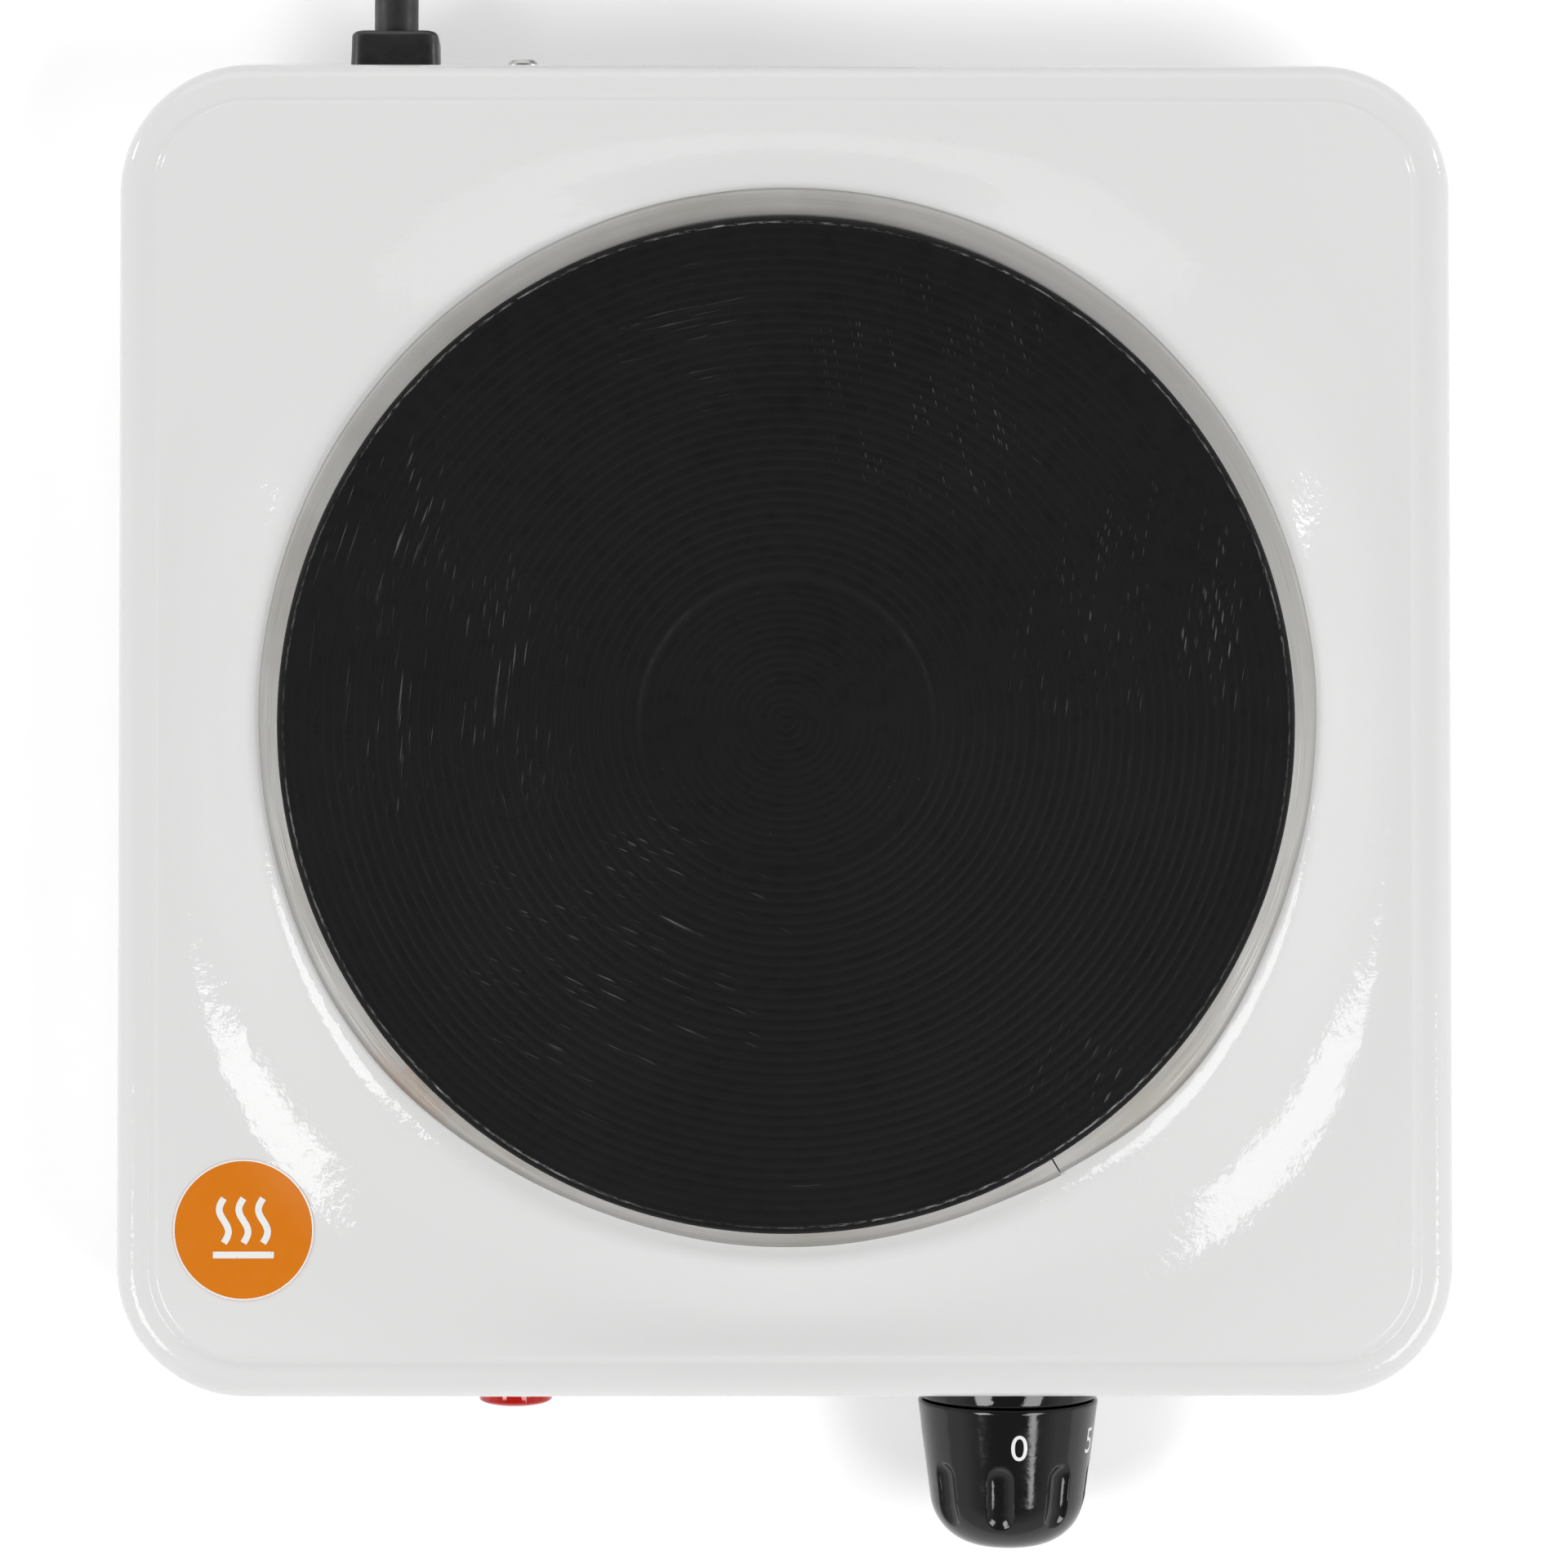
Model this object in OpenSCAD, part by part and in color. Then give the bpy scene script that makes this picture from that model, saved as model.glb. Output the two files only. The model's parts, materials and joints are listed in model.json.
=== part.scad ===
// Electric hot plate: one cast-iron plate on a white enamelled steel body.
// Millimetres. +Z is up, +X is right, the knob faces -Y and the cord leaves at +Y.
// The origin is on the table, in the middle between the knob's nose and the strain relief.

/* [Body] */
// Width and depth of the body at its widest line
body_w = 247; // [245:1:250]
// Height of the cooking surface above the table
total_h = 70; // [69:1:76]
// Thickness of the enamelled sheet steel
sheet = 0.8; // [0.6:0.1:1]
// Radius of the body's upright corners
corner_r = 24; // [23:1:27]
// Inward slope of the side walls towards the table, in degrees
draft = 4.3; // [3:0.1:5]
// Radius of the rounded edge between the walls and the top
edge_r = 4; // [3:0.5:5]
// Depth of the rim ledge's top below the cooking surface
ledge_drop = 19; // [18.5:0.5:19.5]
// Height of the pressed step between the rim ledge and the field
step_h = 1.2; // [0.8:0.1:1.6]
// Height of the feet
foot_h = 8; // [6:0.5:10]

/* [Cast-iron plate] */
// Diameter of the plate, a standard size
plate_d = 185; // [184:0.5:186]
// Spacing of the turned grooves in the cooking surface
groove_pitch = 2; // [1.6:0.1:3]
// Depth of the turned grooves
groove_depth = 0.15; // [0.05:0.05:0.3]
// Radius of the slightly sunk middle
recess_r = 27; // [24:1:30]
// Distance that the stainless ring sits off centre, towards the back
ring_shift = 1.9; // [0:0.1:2]

/* [Front panel] */
// Distance of the knob to the right of the middle
knob_x = 42; // [36:1:50]
// Height of the knob's axis and of the lamp above the table
control_z = 29; // [28:0.5:29]
// Diameter of the knob at its rim
knob_d = 33.8; // [30:0.2:35]
// Distance of the knob's nose from the wall
knob_nose = 30.9; // [30.5:0.2:34]
// Distance of the lamp to the left of the middle
lamp_x = 50.5; // [44:0.5:56]
// Diameter of the lamp's lens
lamp_d = 13.7; // [12:0.1:14]

/* [Cord] */
// Outer diameter of the mains cord
cord_d = 8.3; // [7.5:0.1:8.3]
// Distance of the strain relief to the left of the middle
gland_x = 73.5; // [73:0.5:74]
// Width of the strain relief's head
gland_w = 17.2; // [16:0.2:18]
// Height of the strain relief's head
gland_h = 13; // [12:0.5:14]

/* [Hidden] */
$fn = 96;

// Body levels and widths. Distances called _d run outwards from a corner's centre.
half_w = body_w / 2;
corner_c = half_w - corner_r;
ledge_z = total_h - ledge_drop;
field_z = ledge_z + step_h;
edge_d = corner_r - edge_r;
edge_z = ledge_z - edge_r;
step_d = corner_r - 7;
step_run = 0.9;
base_z = foot_h + sheet;
flange_w = 8;
arc_steps = 6;

// The dome that rises from the field to the plate's opening
seat_z = total_h - 8;
dome_foot_r = 113;
dome_seat_r = 98;
opening_r = 93.4;
dome_steps = 10;

// Bottom plate, its screws and the feet
bottom_half = 117.5;
bottom_r = 18.5;
edge_screw_d = 115;
edge_screw_r = 1.45;
foot_pos = 92;
foot_r = 10;
foot_screw_r = 1.95;

// Cast-iron plate and what is under it
plate_r = plate_d / 2;
rim_under_z = total_h - 3.7;
skirt_r = plate_r - 4.2;
skirt_in_r = plate_r - 8;
skirt_z = total_h - 18;
rib_z = total_h - 14;
channel_top_z = total_h - 8;
channel_radii = [35, 53, 71];
channel_half = 5;
coil_z = total_h - 11;
coil_r = 2.4;
link_r = 2;
coil_start = 132;
coil_sweep = 336;
cover_z = skirt_z + 0.8;
lead_r = 1.2;
lead_end_z = total_h - 25;
stud_r = 3;
stud_top_z = total_h - 6;
stud_end_z = total_h - 35;
bracket_z = total_h - 26;
bracket_t = 1.5;
bracket_w = 24;
bracket_leg_x = 94.5;
first_turn = coil_start + 5;
last_turn = coil_start + coil_sweep - 5;
lead_points = [
    channel_radii[0] * [cos(first_turn), sin(first_turn)],
    channel_radii[2] * [cos(last_turn), sin(last_turn)]
];

// Stainless ring
ring_r = 96.7;
ring_t = 0.6;
ring_x = 0.35;

// Knob and thermostat. Heights called _w run outwards from the front wall's face.
bezel_w = 2.6;
bezel_t = 0.6;
knob_rim_w = bezel_w + 0.3;
knob_shoulder_r = 14.6;
knob_shoulder_w = knob_nose - 9.5;
knob_arc_r = 10.5;
knob_taper = atan((knob_d / 2 - knob_shoulder_r) / (knob_shoulder_w - knob_rim_w));
knob_wall = 2;
flute_count = 8;
flute_r = 2.6;
flute_turn = 8;
flute_mid_w = knob_nose - 10.7;
hub_r = 5.2;
shaft_r = 3;
shaft_flat = 2;
shaft_in_w = -12;
shaft_out_w = 23.5;
bushing_r = 5;
running_gap = 0.3;
bracket_screw_x = 11;
block_half_x = 14;
block_half_y = 12;
block_front_w = -2.3;
block_back_w = -18.3;
pin_r = 1.5;
pin_end_w = -20.7;
blade_w = -21;
blade_t = 0.6;
blade_root_y = -9;
blade_tip_y = 8.5;
contact_y = 6;
contact_r = 1.5;
fixed_contact_w = -25.5;

// Lamp, earth screw and terminal block
lamp_stem_r = 4.8;
lens_side_w = 2.7;
lens_dome = 1.6;
earth_x = 49;
earth_z = 40;
earth_r = 1.5;
block_pos = [-72, 84];
block_size = [30, 16, 15];
sleeve_x = 7;
sleeve_z = base_z + 7.7;

// Strain relief. Its head ends where the cord's free length begins.
gland_z = 27.8;
gland_l = 9.9;
gland_taper = 0.95;
gland_neck_r = 6.5;
gland_neck_l = 10.6;

// The body stands back from the origin, because the knob reaches further than the strain relief.
front_reach = wall_reach(control_z) + knob_nose * cos(draft);
back_reach = wall_reach(gland_z) + gland_l * cos(draft) + gland_h / 2 * gland_taper * sin(draft);
plate_y = (front_reach - back_reach) / 2;

// Route of the cord from inside the strain relief to its coil, and from the coil to the plug
cord_route = [
    [-73.5, 118, 28.9], [-73.5, 130, 28], [-73.5, 142, 27], [-73.5, 150, 26.3],
    [-73.4, 160, 25], [-73.2, 171, 22.4], [-72.8, 182, 18.4], [-72.2, 193, 13.6],
    [-71.4, 204, 9.2], [-70.5, 215, 6.2], [-69.6, 226, 5]
];
tail_route = [
    [-20, 276, 13.4], [-8, 276, 13.2], [4, 275.8, 13.4], [16, 275.6, 14.6],
    [28, 275.5, 16.6], [38, 275.5, 18]
];
coil_centre = [-20, 226];
coil_mid_r = 43;
coil_band = 21.8;
coil_h = 16.8;
tie_t = 0.8;
tie_w = 11;
tie_angle = -38;

// Plug, lying on its side with its axis along X
plug_pos = [38, 275.5, 18.5];
plug_r = 18.5;
plug_boot_l = 26;
plug_l = 60;
plug_pin_r = 2.4;
plug_pin_l = 19;
plug_pin_gap = 19;

// Routes of the wires inside the body, measured from the plate's axis
wire_r = 1.25;
live_route = [[-75.6, 107, 28.6], [-77, 103, 26], [-78.6, 97, 19.5], [-79, 92, 16.5]];
neutral_route = [[-71.4, 107, 28.6], [-69.5, 103, 26], [-66, 97, 19.5], [-65, 92, 16.5]];
earth_route = [[-73.5, 106.6, 31], [-72, 105, 34], [-66, 107, 37.5], [-59, 115, 39.5], [-55.3, 119.6, 39.8]];
feed_route = [
    [-79, 76, 16.5], [-81, 66, 15.5], [-84, 40, 14], [-84, 0, 14], [-75, -50, 14],
    [-40, -84, 17], [8, -90, 26], [30, -93, 39], [38, -96.3, 45.2]
];
heater_live_route = [
    [44, -97.3, 13], [40, -86, 13], [24, -50, 13], [4, 0, 14], [-10, 36, 18],
    [-15, 62, 30], [-16, 69.2, 39], [-16, 69.2, 44.6]
];
heater_neutral_route = [
    [-63.6, 76, 16.5], [-60, 68, 18], [-44, 46, 26], [-30, 29, 34],
    [-25.6, 23.9, 40], [-25.6, 23.9, 44.6]
];
lamp_live_route = [
    [-49, -108.8, 30], [-48.5, -106.5, 30], [-40, -102, 28], [-10, -99, 25],
    [18, -100, 20], [36.5, -99.8, 16]
];
lamp_neutral_route = [
    [-52, -108.8, 30], [-52.5, -106.5, 30], [-62, -100, 27], [-88, -70, 19], [-92, 0, 17],
    [-89, 54, 19], [-72, 68, 21.5], [-66.4, 76, 16.5]
];

// Points of an arc in the XY plane
function arc(centre, r, from, to, steps) = [
    for (i = [0:steps]) let (a = from + (to - from) * i / steps) centre + r * [cos(a), sin(a)]
];

// Closed outline of a sheet that follows a path, with its thickness on the path's left
function left_of(a, b) = [a[1] - b[1], b[0] - a[0]] / norm(b - a);
function shifted(path, t) = [
    for (i = [0:len(path) - 1])
        let (before = left_of(path[max(i, 1) - 1], path[max(i, 1)]))
        let (last = min(i, len(path) - 2))
        let (both = before + left_of(path[last], path[last + 1]))
        path[i] + 2 * t * both / (both * both)
];
function backwards(list) = [for (i = [len(list) - 1:-1:0]) list[i]];
function sheet_outline(path, t) = concat(path, backwards(shifted(path, t)));

// A round tube of flat sides that follows a route, closed at both ends
tube_up = [0.21, 0.13, 1];
function along(route, i) =
    let (d = route[min(i + 1, len(route) - 1)] - route[max(i - 1, 0)]) d / norm(d);
function unit(v) = v / norm(v);
function tube_ring(route, i, r, sides) =
    let (t = along(route, i))
    let (u = unit(cross(tube_up, t)))
    let (v = cross(t, u))
    [for (j = [0:sides - 1]) route[i] + r * (cos(360 * j / sides) * u + sin(360 * j / sides) * v)];
function tube_faces(rings, sides) = concat(
    [[for (j = [0:sides - 1]) j]],
    [[for (j = [sides - 1:-1:0]) (rings - 1) * sides + j]],
    [for (i = [0:rings - 2], j = [0:sides - 1]) [
        i * sides + j, (i + 1) * sides + j, (i + 1) * sides + (j + 1) % sides
    ]],
    [for (i = [0:rings - 2], j = [0:sides - 1]) [
        i * sides + j, (i + 1) * sides + (j + 1) % sides, i * sides + (j + 1) % sides
    ]]
);
module tube(route, r, sides) {
    points = [for (i = [0:len(route) - 1]) each tube_ring(route, i, r, sides)];
    polyhedron(points = points, faces = tube_faces(len(route), sides));
}

// A route with extra points on a smooth curve through its own points
function between(a, b, c, d, t) =
    0.5 * (2 * b + (c - a) * t + (2 * a - 5 * b + 4 * c - d) * t * t
        + (3 * b - a - 3 * c + d) * t * t * t);
function smooth(route, steps) = concat(
    [for (i = [0:len(route) - 2], k = [0:steps - 1])
        between(route[max(i - 1, 0)], route[i], route[i + 1],
            route[min(i + 2, len(route) - 1)], k / steps)],
    [route[len(route) - 1]]
);

// Distance of the wall's outer and inner face from a corner's centre and from the plate's axis
function wall_d(z) = edge_d + edge_r / cos(draft) + (z - edge_z) * tan(draft);
function wall_in_d(z) = wall_d(z) - sheet / cos(draft);
function wall_reach(z) = corner_c + wall_d(z);

// Places. Everything is drawn about the plate's axis, then moved to the origin's frame.
module about_plate() translate([0, plate_y, 0]) children();
module at_front(x, z) translate([x, -wall_reach(z), z]) rotate([90 + draft, 0, 0]) children();
module at_back(x, z) translate([x, wall_reach(z), z]) rotate([90 + draft, 0, 180]) children();
module four_corners(distance) {
    for (x = [-1, 1], y = [-1, 1]) translate([x * distance, y * distance, 0]) children();
}
module four_sides(distance) {
    for (k = [0:3]) rotate(90 * k) translate([distance, 0, 0]) children();
}

// Plain solids that repeat
module ring(inner, outer, h) {
    difference() {
        cylinder(r = outer, h = h);
        translate([0, 0, -1]) cylinder(r = inner, h = h + 2);
    }
}
module rounded_square(w, h, r) {
    square([w - 2 * r, h], center = true);
    square([w, h - 2 * r], center = true);
    for (x = [-1, 1], y = [-1, 1]) translate([x * (w / 2 - r), y * (h / 2 - r)]) circle(r = r);
}
module hex_nut(across, bore, h) {
    difference() {
        cylinder(r = across / sqrt(3), h = h, $fn = 6);
        translate([0, 0, -1]) cylinder(r = bore, h = h + 2);
    }
}
// A pan-head screw whose head stands on z = 0 and whose shank runs down from it
module pan_screw(head_r, head_h, shank_r, shank_l) {
    difference() {
        union() {
            rotate_extrude() polygon([
                [0, 0], [head_r, 0], [head_r, head_h * 0.55], [head_r * 0.82, head_h * 0.9],
                [head_r * 0.5, head_h], [0, head_h]
            ]);
            translate([0, 0, -shank_l]) cylinder(r = shank_r, h = shank_l);
        }
        for (a = [0, 90]) rotate(a) {
            translate([-head_r * 0.55, -head_r * 0.11, head_h * 0.5])
                cube([head_r * 1.1, head_r * 0.22, head_h]);
        }
    }
}

// Enamelled cover: walls, rounded edge, rim ledge, step, field and bottom flange in one pressing
function edge_arc(r) = concat(
    arc([edge_d, edge_z], r, 90, 0, arc_steps),
    [[edge_d + r * cos(draft), edge_z - r * sin(draft)]]
);
function border_profile() = concat(
    [[0, field_z], [step_d - step_run, field_z], [step_d + step_run, ledge_z]],
    edge_arc(edge_r),
    [
        [wall_d(base_z), base_z], [wall_d(base_z) - flange_w, base_z],
        [wall_d(base_z) - flange_w, base_z + sheet], [wall_in_d(base_z + sheet), base_z + sheet]
    ],
    backwards(edge_arc(edge_r - sheet)),
    [[step_d + step_run, ledge_z - sheet], [step_d - step_run, field_z - sheet], [0, field_z - sheet]]
);
function dome_height(r) =
    (seat_z - field_z) * (1 + cos(180 * (r - dome_seat_r) / (dome_foot_r - dome_seat_r))) / 2;
function dome_path() = concat(
    [for (i = [0:dome_steps])
        let (r = dome_foot_r + (dome_seat_r - dome_foot_r) * i / dome_steps)
        [r, field_z + dome_height(r)]],
    [[opening_r, seat_z]]
);
function lowered(path, t) = [for (p = path) [p[0], p[1] - t]];
module cover_border() {
    for (k = [0:3]) rotate(90 * k) translate([corner_c, corner_c, 0]) {
        rotate_extrude(angle = 90) polygon(border_profile());
        rotate([90, 0, 0]) linear_extrude(2 * corner_c) polygon(border_profile());
    }
}
module cover_shell() {
    difference() {
        union() {
            cover_border();
            translate([-corner_c, -corner_c, field_z - sheet]) cube([2 * corner_c, 2 * corner_c, sheet]);
        }
        translate([0, 0, field_z - 5]) cylinder(r = dome_foot_r, h = 10);
    }
    rotate_extrude() polygon(concat(dome_path(), backwards(lowered(dome_path(), sheet))));
}
module housing() about_plate() color("white") difference() {
    cover_shell();
    at_front(knob_x, control_z) translate([0, 0, -3]) {
        cylinder(r = bushing_r + 0.2, h = 6);
        for (x = [-1, 1]) translate([x * bracket_screw_x, 0, 0]) cylinder(r = 2.1, h = 6);
    }
    at_front(-lamp_x, control_z) translate([0, 0, -3]) cylinder(r = lamp_stem_r + 0.1, h = 6);
    at_back(-gland_x, gland_z) translate([0, 0, -3]) cylinder(r = gland_neck_r + 0.1, h = 6);
    at_back(-earth_x, earth_z) translate([0, 0, -3]) cylinder(r = earth_r + 0.1, h = 6);
    four_sides(edge_screw_d) translate([0, 0, base_z - 1]) cylinder(r = edge_screw_r, h = 3);
}

// Bottom plate with its air slots
module air_slot() {
    square([32, 4], center = true);
    for (x = [-16, 16]) translate([x, 0]) circle(r = 2);
}
module bottom_plate() about_plate() color("silver") difference() {
    translate([0, 0, foot_h]) linear_extrude(sheet) rounded_square(2 * bottom_half, 2 * bottom_half, bottom_r);
    translate([0, 0, foot_h - 1]) {
        for (x = [-45, 45], i = [-3:3]) translate([x, 14 * i, 0]) linear_extrude(3) air_slot();
        four_sides(edge_screw_d) cylinder(r = edge_screw_r + 0.3, h = 3);
        four_corners(foot_pos) cylinder(r = foot_screw_r + 0.1, h = 3);
    }
}
module bottom_screws() about_plate() color("gray") {
    four_sides(edge_screw_d) translate([0, 0, foot_h]) rotate([180, 0, 0]) pan_screw(3.2, 2.2, edge_screw_r, 6);
}

// Rubber feet with a hollow for the screw's head
module foot(x, y) {
    about_plate() translate([x * foot_pos, y * foot_pos, 0]) color([0.12, 0.12, 0.12]) difference() {
        rotate_extrude() polygon([
            [0, 0], [foot_r - 1.5, 0], [foot_r - 0.6, 0.9], [foot_r, foot_h], [0, foot_h]
        ]);
        translate([0, 0, -1]) cylinder(r = 4.4, h = 4.5);
        cylinder(r = foot_screw_r + 0.1, h = foot_h + 1);
    }
}
module foot_front_left() foot(-1, -1);
module foot_front_right() foot(1, -1);
module foot_back_left() foot(-1, 1);
module foot_back_right() foot(1, 1);
module foot_screws() about_plate() color("gray") {
    four_corners(foot_pos) translate([0, 0, 3.5]) rotate([180, 0, 0]) pan_screw(3.9, 2.4, foot_screw_r, 9);
}
module foot_nuts() about_plate() color("gray") {
    four_corners(foot_pos) translate([0, 0, base_z]) hex_nut(7, foot_screw_r, 3.2);
}

// Cast-iron plate: turned top, rim, skirt, and the channels for the heating coil underneath
function groove(r) = [
    [r - 0.3, total_h], [r, total_h - groove_depth], [r + 0.3, total_h]
];
groove_first = recess_r + 1.6;
groove_count = floor((plate_r - 3 - groove_first) / groove_pitch);
function plate_top() = concat(
    [[0, total_h - 0.3], [recess_r, total_h - 0.3], [recess_r + 0.6, total_h]],
    [for (i = [0:groove_count]) each groove(groove_first + groove_pitch * i)],
    [[plate_r - 1.3, total_h], [plate_r, total_h - 1.3], [plate_r, rim_under_z]]
);
function plate_underside() = concat(
    [[skirt_r, rim_under_z], [skirt_r, skirt_z], [skirt_in_r, skirt_z], [skirt_in_r, rib_z]],
    [for (i = [2:-1:0]) each [
        [channel_radii[i] + channel_half, rib_z], [channel_radii[i] + channel_half, channel_top_z],
        [channel_radii[i] - channel_half, channel_top_z], [channel_radii[i] - channel_half, rib_z]
    ]],
    [[10, rib_z], [10, cover_z + sheet], [0, cover_z + sheet]]
);
// Slots across the ribs, where the coil steps from one channel to the next
module rib_slots() {
    for (i = [0, 1]) rotate(i == 0 ? last_turn : first_turn)
        translate([channel_radii[i], -3, rib_z])
            cube([channel_radii[i + 1] - channel_radii[i], 6, channel_top_z - rib_z]);
}
module heating_plate() about_plate() color([0.13, 0.13, 0.13]) difference() {
    rotate_extrude() polygon(concat(plate_top(), plate_underside()));
    rib_slots();
    translate([0, 0, skirt_z]) cylinder(r = stud_r, h = stud_top_z - skirt_z);
}

// Stainless ring: a collar round the skirt, a sloping face and a rolled outer lip
function ring_path() = concat(
    [[90.6, seat_z - 3.6], [90.6, rim_under_z - 1]],
    arc([91.4, rim_under_z - 1.1], 0.8, 170, 80, 4),
    [[94.6, seat_z + 2.2]],
    arc([ring_r - 1.6, seat_z + 0.7], 1.6, 60, 0, 4),
    [[ring_r, seat_z]]
);
module trim_ring() about_plate() color("silver") translate([ring_x, ring_shift, 0]) {
    rotate_extrude() polygon(sheet_outline(ring_path(), -ring_t));
}

// Heating coil: three rings in series, with both ends led down out of the plate
module heating_coil() about_plate() color([0.45, 0.4, 0.35]) {
    for (r = channel_radii) rotate(coil_start) translate([0, 0, coil_z]) {
        rotate_extrude(angle = coil_sweep) translate([r, 0]) circle(r = coil_r);
    }
    for (i = [0, 1]) rotate(i == 0 ? last_turn : first_turn)
        translate([channel_radii[i], 0, coil_z]) rotate([0, 90, 0])
            cylinder(r = link_r, h = channel_radii[i + 1] - channel_radii[i]);
    for (p = lead_points) translate([p[0], p[1], lead_end_z]) cylinder(r = lead_r, h = coil_z - lead_end_z);
}
module insulation_mass() about_plate() color([0.75, 0.72, 0.66]) difference() {
    union() {
        translate([0, 0, cover_z + sheet]) ring(10.2, skirt_in_r - 0.2, rib_z - cover_z - sheet);
        for (r = channel_radii) translate([0, 0, rib_z]) {
            ring(r - channel_half + 0.2, r + channel_half - 0.2, channel_top_z - rib_z - 0.2);
        }
    }
    for (r = channel_radii) translate([0, 0, coil_z]) rotate_extrude() translate([r, 0]) circle(r = coil_r + 0.1);
    rib_slots();
    lead_holes(3);
}
module lead_holes(r) {
    for (p = lead_points) translate([p[0], p[1], skirt_z]) cylinder(r = r, h = rib_z + 1 - skirt_z);
}
module plate_back_cover() about_plate() color("silver") difference() {
    translate([0, 0, cover_z]) cylinder(r = skirt_in_r - 0.2, h = sheet);
    lead_holes(3);
    translate([0, 0, skirt_z]) cylinder(r = stud_r + 0.2, h = 5);
}
module lead_bushings() about_plate() color("ivory") {
    for (p = lead_points) translate([p[0], p[1], skirt_z - 2]) {
        ring(lead_r + 0.1, 2.9, rib_z - skirt_z + 2);
        ring(lead_r + 0.1, 4.2, 2);
    }
}

// Centre stud and the bracket that pulls the plate down on its ring and the cover
module centre_stud() about_plate() color("gray") {
    translate([0, 0, stud_end_z]) cylinder(r = stud_r, h = stud_top_z - stud_end_z);
}
module cover_nut() about_plate() color("gray") translate([0, 0, cover_z - 3]) hex_nut(10, stud_r, 3);
module clamp_bracket() about_plate() color("silver") difference() {
    union() {
        translate([-bracket_leg_x - bracket_t, -bracket_w / 2, bracket_z])
            cube([2 * (bracket_leg_x + bracket_t), bracket_w, bracket_t]);
        for (x = [-bracket_leg_x - bracket_t, bracket_leg_x])
            translate([x, -bracket_w / 2, bracket_z]) cube([bracket_t, bracket_w, seat_z - sheet - bracket_z]);
        for (y = [-bracket_w / 2, bracket_w / 2 - bracket_t])
            translate([-70, y, bracket_z - 4]) cube([140, bracket_t, 5]);
    }
    translate([0, 0, bracket_z - 1]) cylinder(r = stud_r + 0.3, h = bracket_t + 2);
}
module stud_washer() about_plate() color("gray") translate([0, 0, bracket_z - 1.6]) ring(stud_r + 0.2, 6.2, 1.6);
module stud_nut() about_plate() color("gray") translate([0, 0, bracket_z - 6.6]) hex_nut(10, stud_r, 5);

// Knob: a fluted cup with a hub that takes the flattened shaft
knob_arc_c = [
    knob_shoulder_r - knob_arc_r * cos(knob_taper), knob_shoulder_w - knob_arc_r * sin(knob_taper)
];
function knob_outer() = concat(
    [[knob_d / 2 - 0.4, knob_rim_w], [knob_d / 2, knob_rim_w + 0.4]],
    arc(knob_arc_c, knob_arc_r, knob_taper, 80, 8),
    [[0, knob_nose]]
);
function knob_inner() = [
    [0, knob_nose - 3], [knob_shoulder_r - 7, knob_nose - 3.4],
    [knob_shoulder_r - knob_wall, knob_shoulder_w - 1], [knob_d / 2 - knob_wall, knob_rim_w]
];
module d_shaft(r, flat, l) {
    intersection() {
        cylinder(r = r, h = l);
        translate([-r, -r, 0]) cube([2 * r, r + flat, l]);
    }
}
// Each flute is the dip of a long ring that grazes the knob's side
module flutes() {
    side_r = knob_shoulder_r + (knob_shoulder_w - flute_mid_w) * tan(knob_taper);
    swing_r = 26;
    for (k = [0:flute_count - 1]) rotate(90 + flute_turn + 360 / flute_count * k)
        translate([side_r - 1.1 + flute_r + swing_r, 0, flute_mid_w])
            rotate([90, 0, 0]) rotate([0, 0, 150 - knob_taper]) rotate_extrude(angle = 60)
                translate([swing_r, 0]) circle(r = flute_r);
}
module knob() about_plate() at_front(knob_x, control_z) color([0.05, 0.05, 0.05]) difference() {
    union() {
        difference() {
            rotate_extrude() polygon(concat(knob_outer(), knob_inner()));
            flutes();
        }
        translate([0, 0, knob_rim_w + 0.3]) cylinder(r = hub_r, h = knob_nose - 3 - knob_rim_w);
    }
    translate([0, 0, knob_rim_w]) d_shaft(shaft_r + 0.05, shaft_flat + 0.05, shaft_out_w - knob_rim_w + 0.2);
}
module knob_clip() about_plate() at_front(knob_x, control_z) color("silver") {
    translate([0, 0, 12]) rotate(-30) rotate_extrude(angle = 240) translate([hub_r + 0.02, 0]) square([0.6, 6]);
}
module thermostat_shaft() about_plate() at_front(knob_x, control_z) color("gold") {
    translate([0, 0, shaft_in_w]) cylinder(r = shaft_r, h = knob_rim_w - shaft_in_w);
    translate([0, 0, knob_rim_w]) d_shaft(shaft_r, shaft_flat, shaft_out_w - knob_rim_w);
}
module knob_bezel() about_plate() at_front(knob_x, control_z) color([0.06, 0.06, 0.06]) difference() {
    rotate_extrude() polygon([
        [bushing_r + 0.4, bezel_w - bezel_t], [15.4, bezel_w - bezel_t], [15.4, 0], [16.65, 0],
        [16.65, bezel_w - 0.4], [16.25, bezel_w], [bushing_r + 0.4, bezel_w]
    ]);
}

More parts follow.
